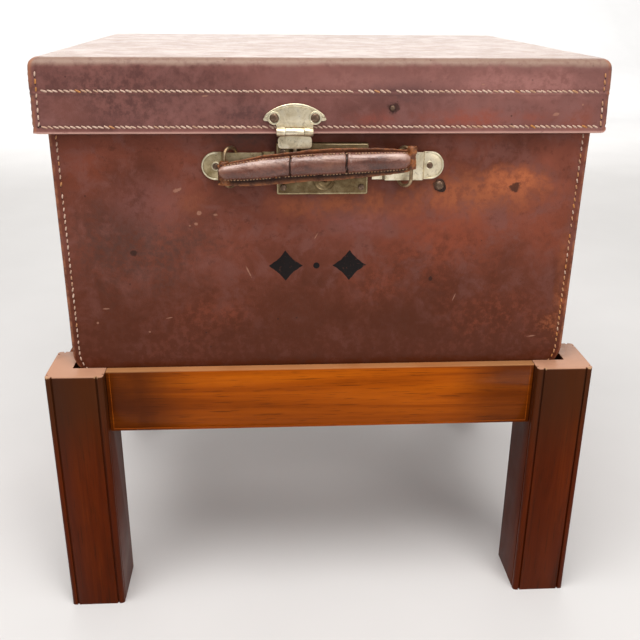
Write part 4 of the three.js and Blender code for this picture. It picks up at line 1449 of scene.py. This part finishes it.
def body_scuffs():
    """Small pale scratches and knocks on the front of the body."""
    places = [
        (-122.9, 411.3, 3.6, 1.7, 20), (-106.3, 391.4, 2.0, 1.8, 0), (-109.3, 381.8, 1.5, 1.2, 0),
        (-114.4, 380.1, 1.2, 1.0, 0), (-92.8, 389.6, 2.0, 1.5, 0), (-65.2, 338, 0.7, 6.5, 24),
        (-190.9, 305.4, 3.2, 0.7, 0), (-200, 292, 1.1, 1.1, 0), (192, 273, 4.0, 0.8, 8),
        (-6, 371, 0.5, 4.0, -30), (-137, 296, 3.0, 0.5, 10), (118, 312, 0.5, 4.2, -20),
        (-155, 283, 1.1, 0.9, 0),
    ]
    return [(*front_spot(x, z, w, h), math.radians(tilt)) for x, z, w, h, tilt in places]


def lid_patches():
    """Large soft patches of colour on the front of the lid, with painted shade over its left and painted
    sheen near its top.
    """
    places = [
        # The first patch is painted shade over the left of the lid, the second and third a painted sheen near
        # its top edge.
        (-165, 490, 150, 50, (0.095, 0.040, 0.036), 0.8), (160, 500, 110, 14, (0.38, 0.17, 0.15), 0.8),
        (30, 500, 90, 12, (0.33, 0.15, 0.13), 0.6), (125, 471, 70, 9, (0.28, 0.075, 0.050), 0.9),
        (45, 470, 34, 9, (0.26, 0.070, 0.050), 0.7), (66, 492, 46, 12, (0.110, 0.052, 0.050), 0.7),
        (-60, 476, 40, 12, (0.085, 0.040, 0.038), 0.7), (205, 470, 20, 12, (0.24, 0.065, 0.040), 0.8),
        (-205, 476, 28, 20, (0.22, 0.080, 0.060), 0.5),
    ]
    return [(*front_spot(x, z, w, h, LID_FRONT), colour, amount) for x, z, w, h, colour, amount in places]


def lid_scuffs():
    """Small pale scratches and knocks on the front of the lid."""
    places = [
        (190.6, 474.5, 3.4, 1.5, 0.2), (212, 482, 1.0, 1.0, 0), (-96, 489, 2.2, 0.7, 0.1),
        (128, 498, 1.4, 0.6, 0),
    ]
    return [(*front_spot(x, z, w, h, LID_FRONT), tilt) for x, z, w, h, tilt in places]


def body_leather():
    """Dark oxblood leather, darker still towards the foot."""
    tones = [(0.092, 0.024, 0.012), (0.175, 0.047, 0.027), (0.255, 0.070, 0.043), (0.185, 0.068, 0.054)]
    height_tones = [(0.400, 0.270, (0.078, 0.015, 0.003), 0.9)]
    marks = [front_spot(164.5, 412, 5.5, 4.6), front_spot(-163.5, 356.6, 3.4, 2.4)]
    marks.append(front_spot(96, 330, 1.6, 2.2))
    return case_leather("body_leather", tones, body_patches(), body_scuffs(), marks, height_tones)


def lid_leather():
    """The same leather, paler and greyer with a painted sheen, and palest along the top with a painted
    highlight.
    """
    # Paler and greyer than the body's tones: a sheen painted into the colour.
    tones = [(0.140, 0.054, 0.045), (0.205, 0.082, 0.070), (0.275, 0.112, 0.094), (0.225, 0.098, 0.086)]
    # Painted highlight: the top and its rounded front edge are paled.
    height_tones = [(LID_TOP - 7.5 * MM, LID_TOP - 2.5 * MM, (0.31, 0.205, 0.155), 0.92)]
    stain = front_spot(55, 479.5, 5.5, 4.2, LID_FRONT)
    return case_leather("lid_leather", tones, lid_patches(), lid_scuffs(), [stain], height_tones)


def leathers():
    grimy = [(0.030, 0.013, 0.009)] * 2 + [(0.060, 0.024, 0.016)] * 2
    grip = [(0.050, 0.013, 0.007), (0.135, 0.040, 0.023), (0.225, 0.082, 0.054)]
    strap = [(0.050, 0.018, 0.011), (0.110, 0.038, 0.020), (0.180, 0.066, 0.034)]
    return {
        "body_leather": body_leather(),
        "lid_leather": lid_leather(),
        "grimy_leather": case_leather("grimy_leather", grimy),
        "handle": handle_leather("handle_leather", grip, (0.30, 0.125, 0.070), 0.5),
        "handle_strap": handle_leather("strap_leather", strap, (0.42, 0.150, 0.050), 0.2),
    }


def threads():
    return {
        "thread": thread("thread", (0.66, 0.47, 0.37), (0.48, 0.28, 0.18), (0.52, 0.21, 0.05)),
        "handle_thread": thread("handle_thread", (0.46, 0.29, 0.17), (0.34, 0.19, 0.10), (0.42, 0.17, 0.05)),
        "hole_shade": stitch_hole_shade(),
    }


def metals():
    brass = [(0.58, 0.48, 0.31), (0.82, 0.72, 0.52), (0.94, 0.86, 0.68)]
    bright = [(0.62, 0.52, 0.33), (0.84, 0.76, 0.55), (0.92, 0.86, 0.68)]
    dull = [(0.30, 0.23, 0.115), (0.47, 0.375, 0.22), (0.62, 0.52, 0.33)]
    lock = [(0.105, 0.066, 0.030), (0.185, 0.128, 0.064), (0.30, 0.225, 0.125)]
    ring = [(0.16, 0.095, 0.05), (0.32, 0.215, 0.12), (0.52, 0.41, 0.27)]
    return {
        "brass": old_brass("brass", brass, 0.55, 0.36),
        "bright_brass": old_brass("bright_brass", bright, 0.4, 0.30),
        "olive_brass": old_brass("olive_brass", dull, 0.75, 0.42),
        "lock_brass": old_brass("lock_brass", lock, 0.8, 0.44),
        "ring_brass": old_brass("ring_brass", ring, 0.8, 0.38),
        "dark_steel": dark_steel(),
    }


def leg_wood():
    """Dark mahogany, duller near the top, with painted highlights on the leg tops and chipped corners."""
    tones = [(0.054, 0.0075, 0.0004), (0.088, 0.0120, 0.0006), (0.130, 0.0200, 0.0010)]
    dull = ("Z", 0.13, 0.235, 0.8, (0.056, 0.018, 0.006))
    # Painted highlight: the tops of the legs are paled.
    top = ("Z", STAND_TOP - 1.2 * MM, STAND_TOP - 0.3 * MM, 0.9, (0.56, 0.30, 0.19))
    leg_x, leg_y = high("leg_front_right").x, low("leg_front_right").y
    places = [(-1, 2, 2.2, 1.6), (-1, 45, 2.0, 2.4), (1, -44, 1.6, 1.6), (1, -3, 2.6, 1.4)]
    chips = [
        ((side * leg_x + dx * MM, leg_y, STAND_TOP), (width * MM, 3 * MM, height * MM))
        for side, dx, width, height in places
    ]
    return mahogany("leg_mahogany", "Z", tones, [dull, top], chips)


def woods():
    rail = [(0.20, 0.036, 0.0016), (0.34, 0.068, 0.0024), (0.47, 0.108, 0.0040)]
    bead = [tuple(channel * 0.8 for channel in tone) for tone in rail]
    # umber darkens the rails towards their ends, where they meet the legs: painted shade.
    umber = (0.062, 0.012, 0.002)
    # Painted highlight along the rails' top edge.
    arris_highlight = ("Z", STAND_TOP - 1.6 * MM, STAND_TOP, 0.75, (0.50, 0.24, 0.10))
    return {
        "leg_wood": leg_wood(),
        "rail_wood": mahogany("rail_mahogany", "X", rail, [("X", 0.105, 0.172, 0.85, umber), arris_highlight]),
        "side_rail_wood": mahogany("side_rail_mahogany", "Y", rail, [("Y", 0.110, 0.150, 0.8, umber)]),
        "bead_wood": mahogany("bead_mahogany", "X", bead),
    }


add_camera()
add_lights()
materials = {**leathers(), **threads(), **metals()}
materials.update({"linen": linen(), "paint": black_paint(), **woods(), "floor": pale_floor()})
add_floor(materials["floor"])
add_stand(materials)
add_case(materials)
add_linings(materials)
add_case_stitching(materials)
add_ornament(materials)
add_metal(materials)
add_raised_edges(materials)
add_rivets(materials)
add_boss(materials)
add_rings(materials)
add_screws(materials)
add_handle(materials)
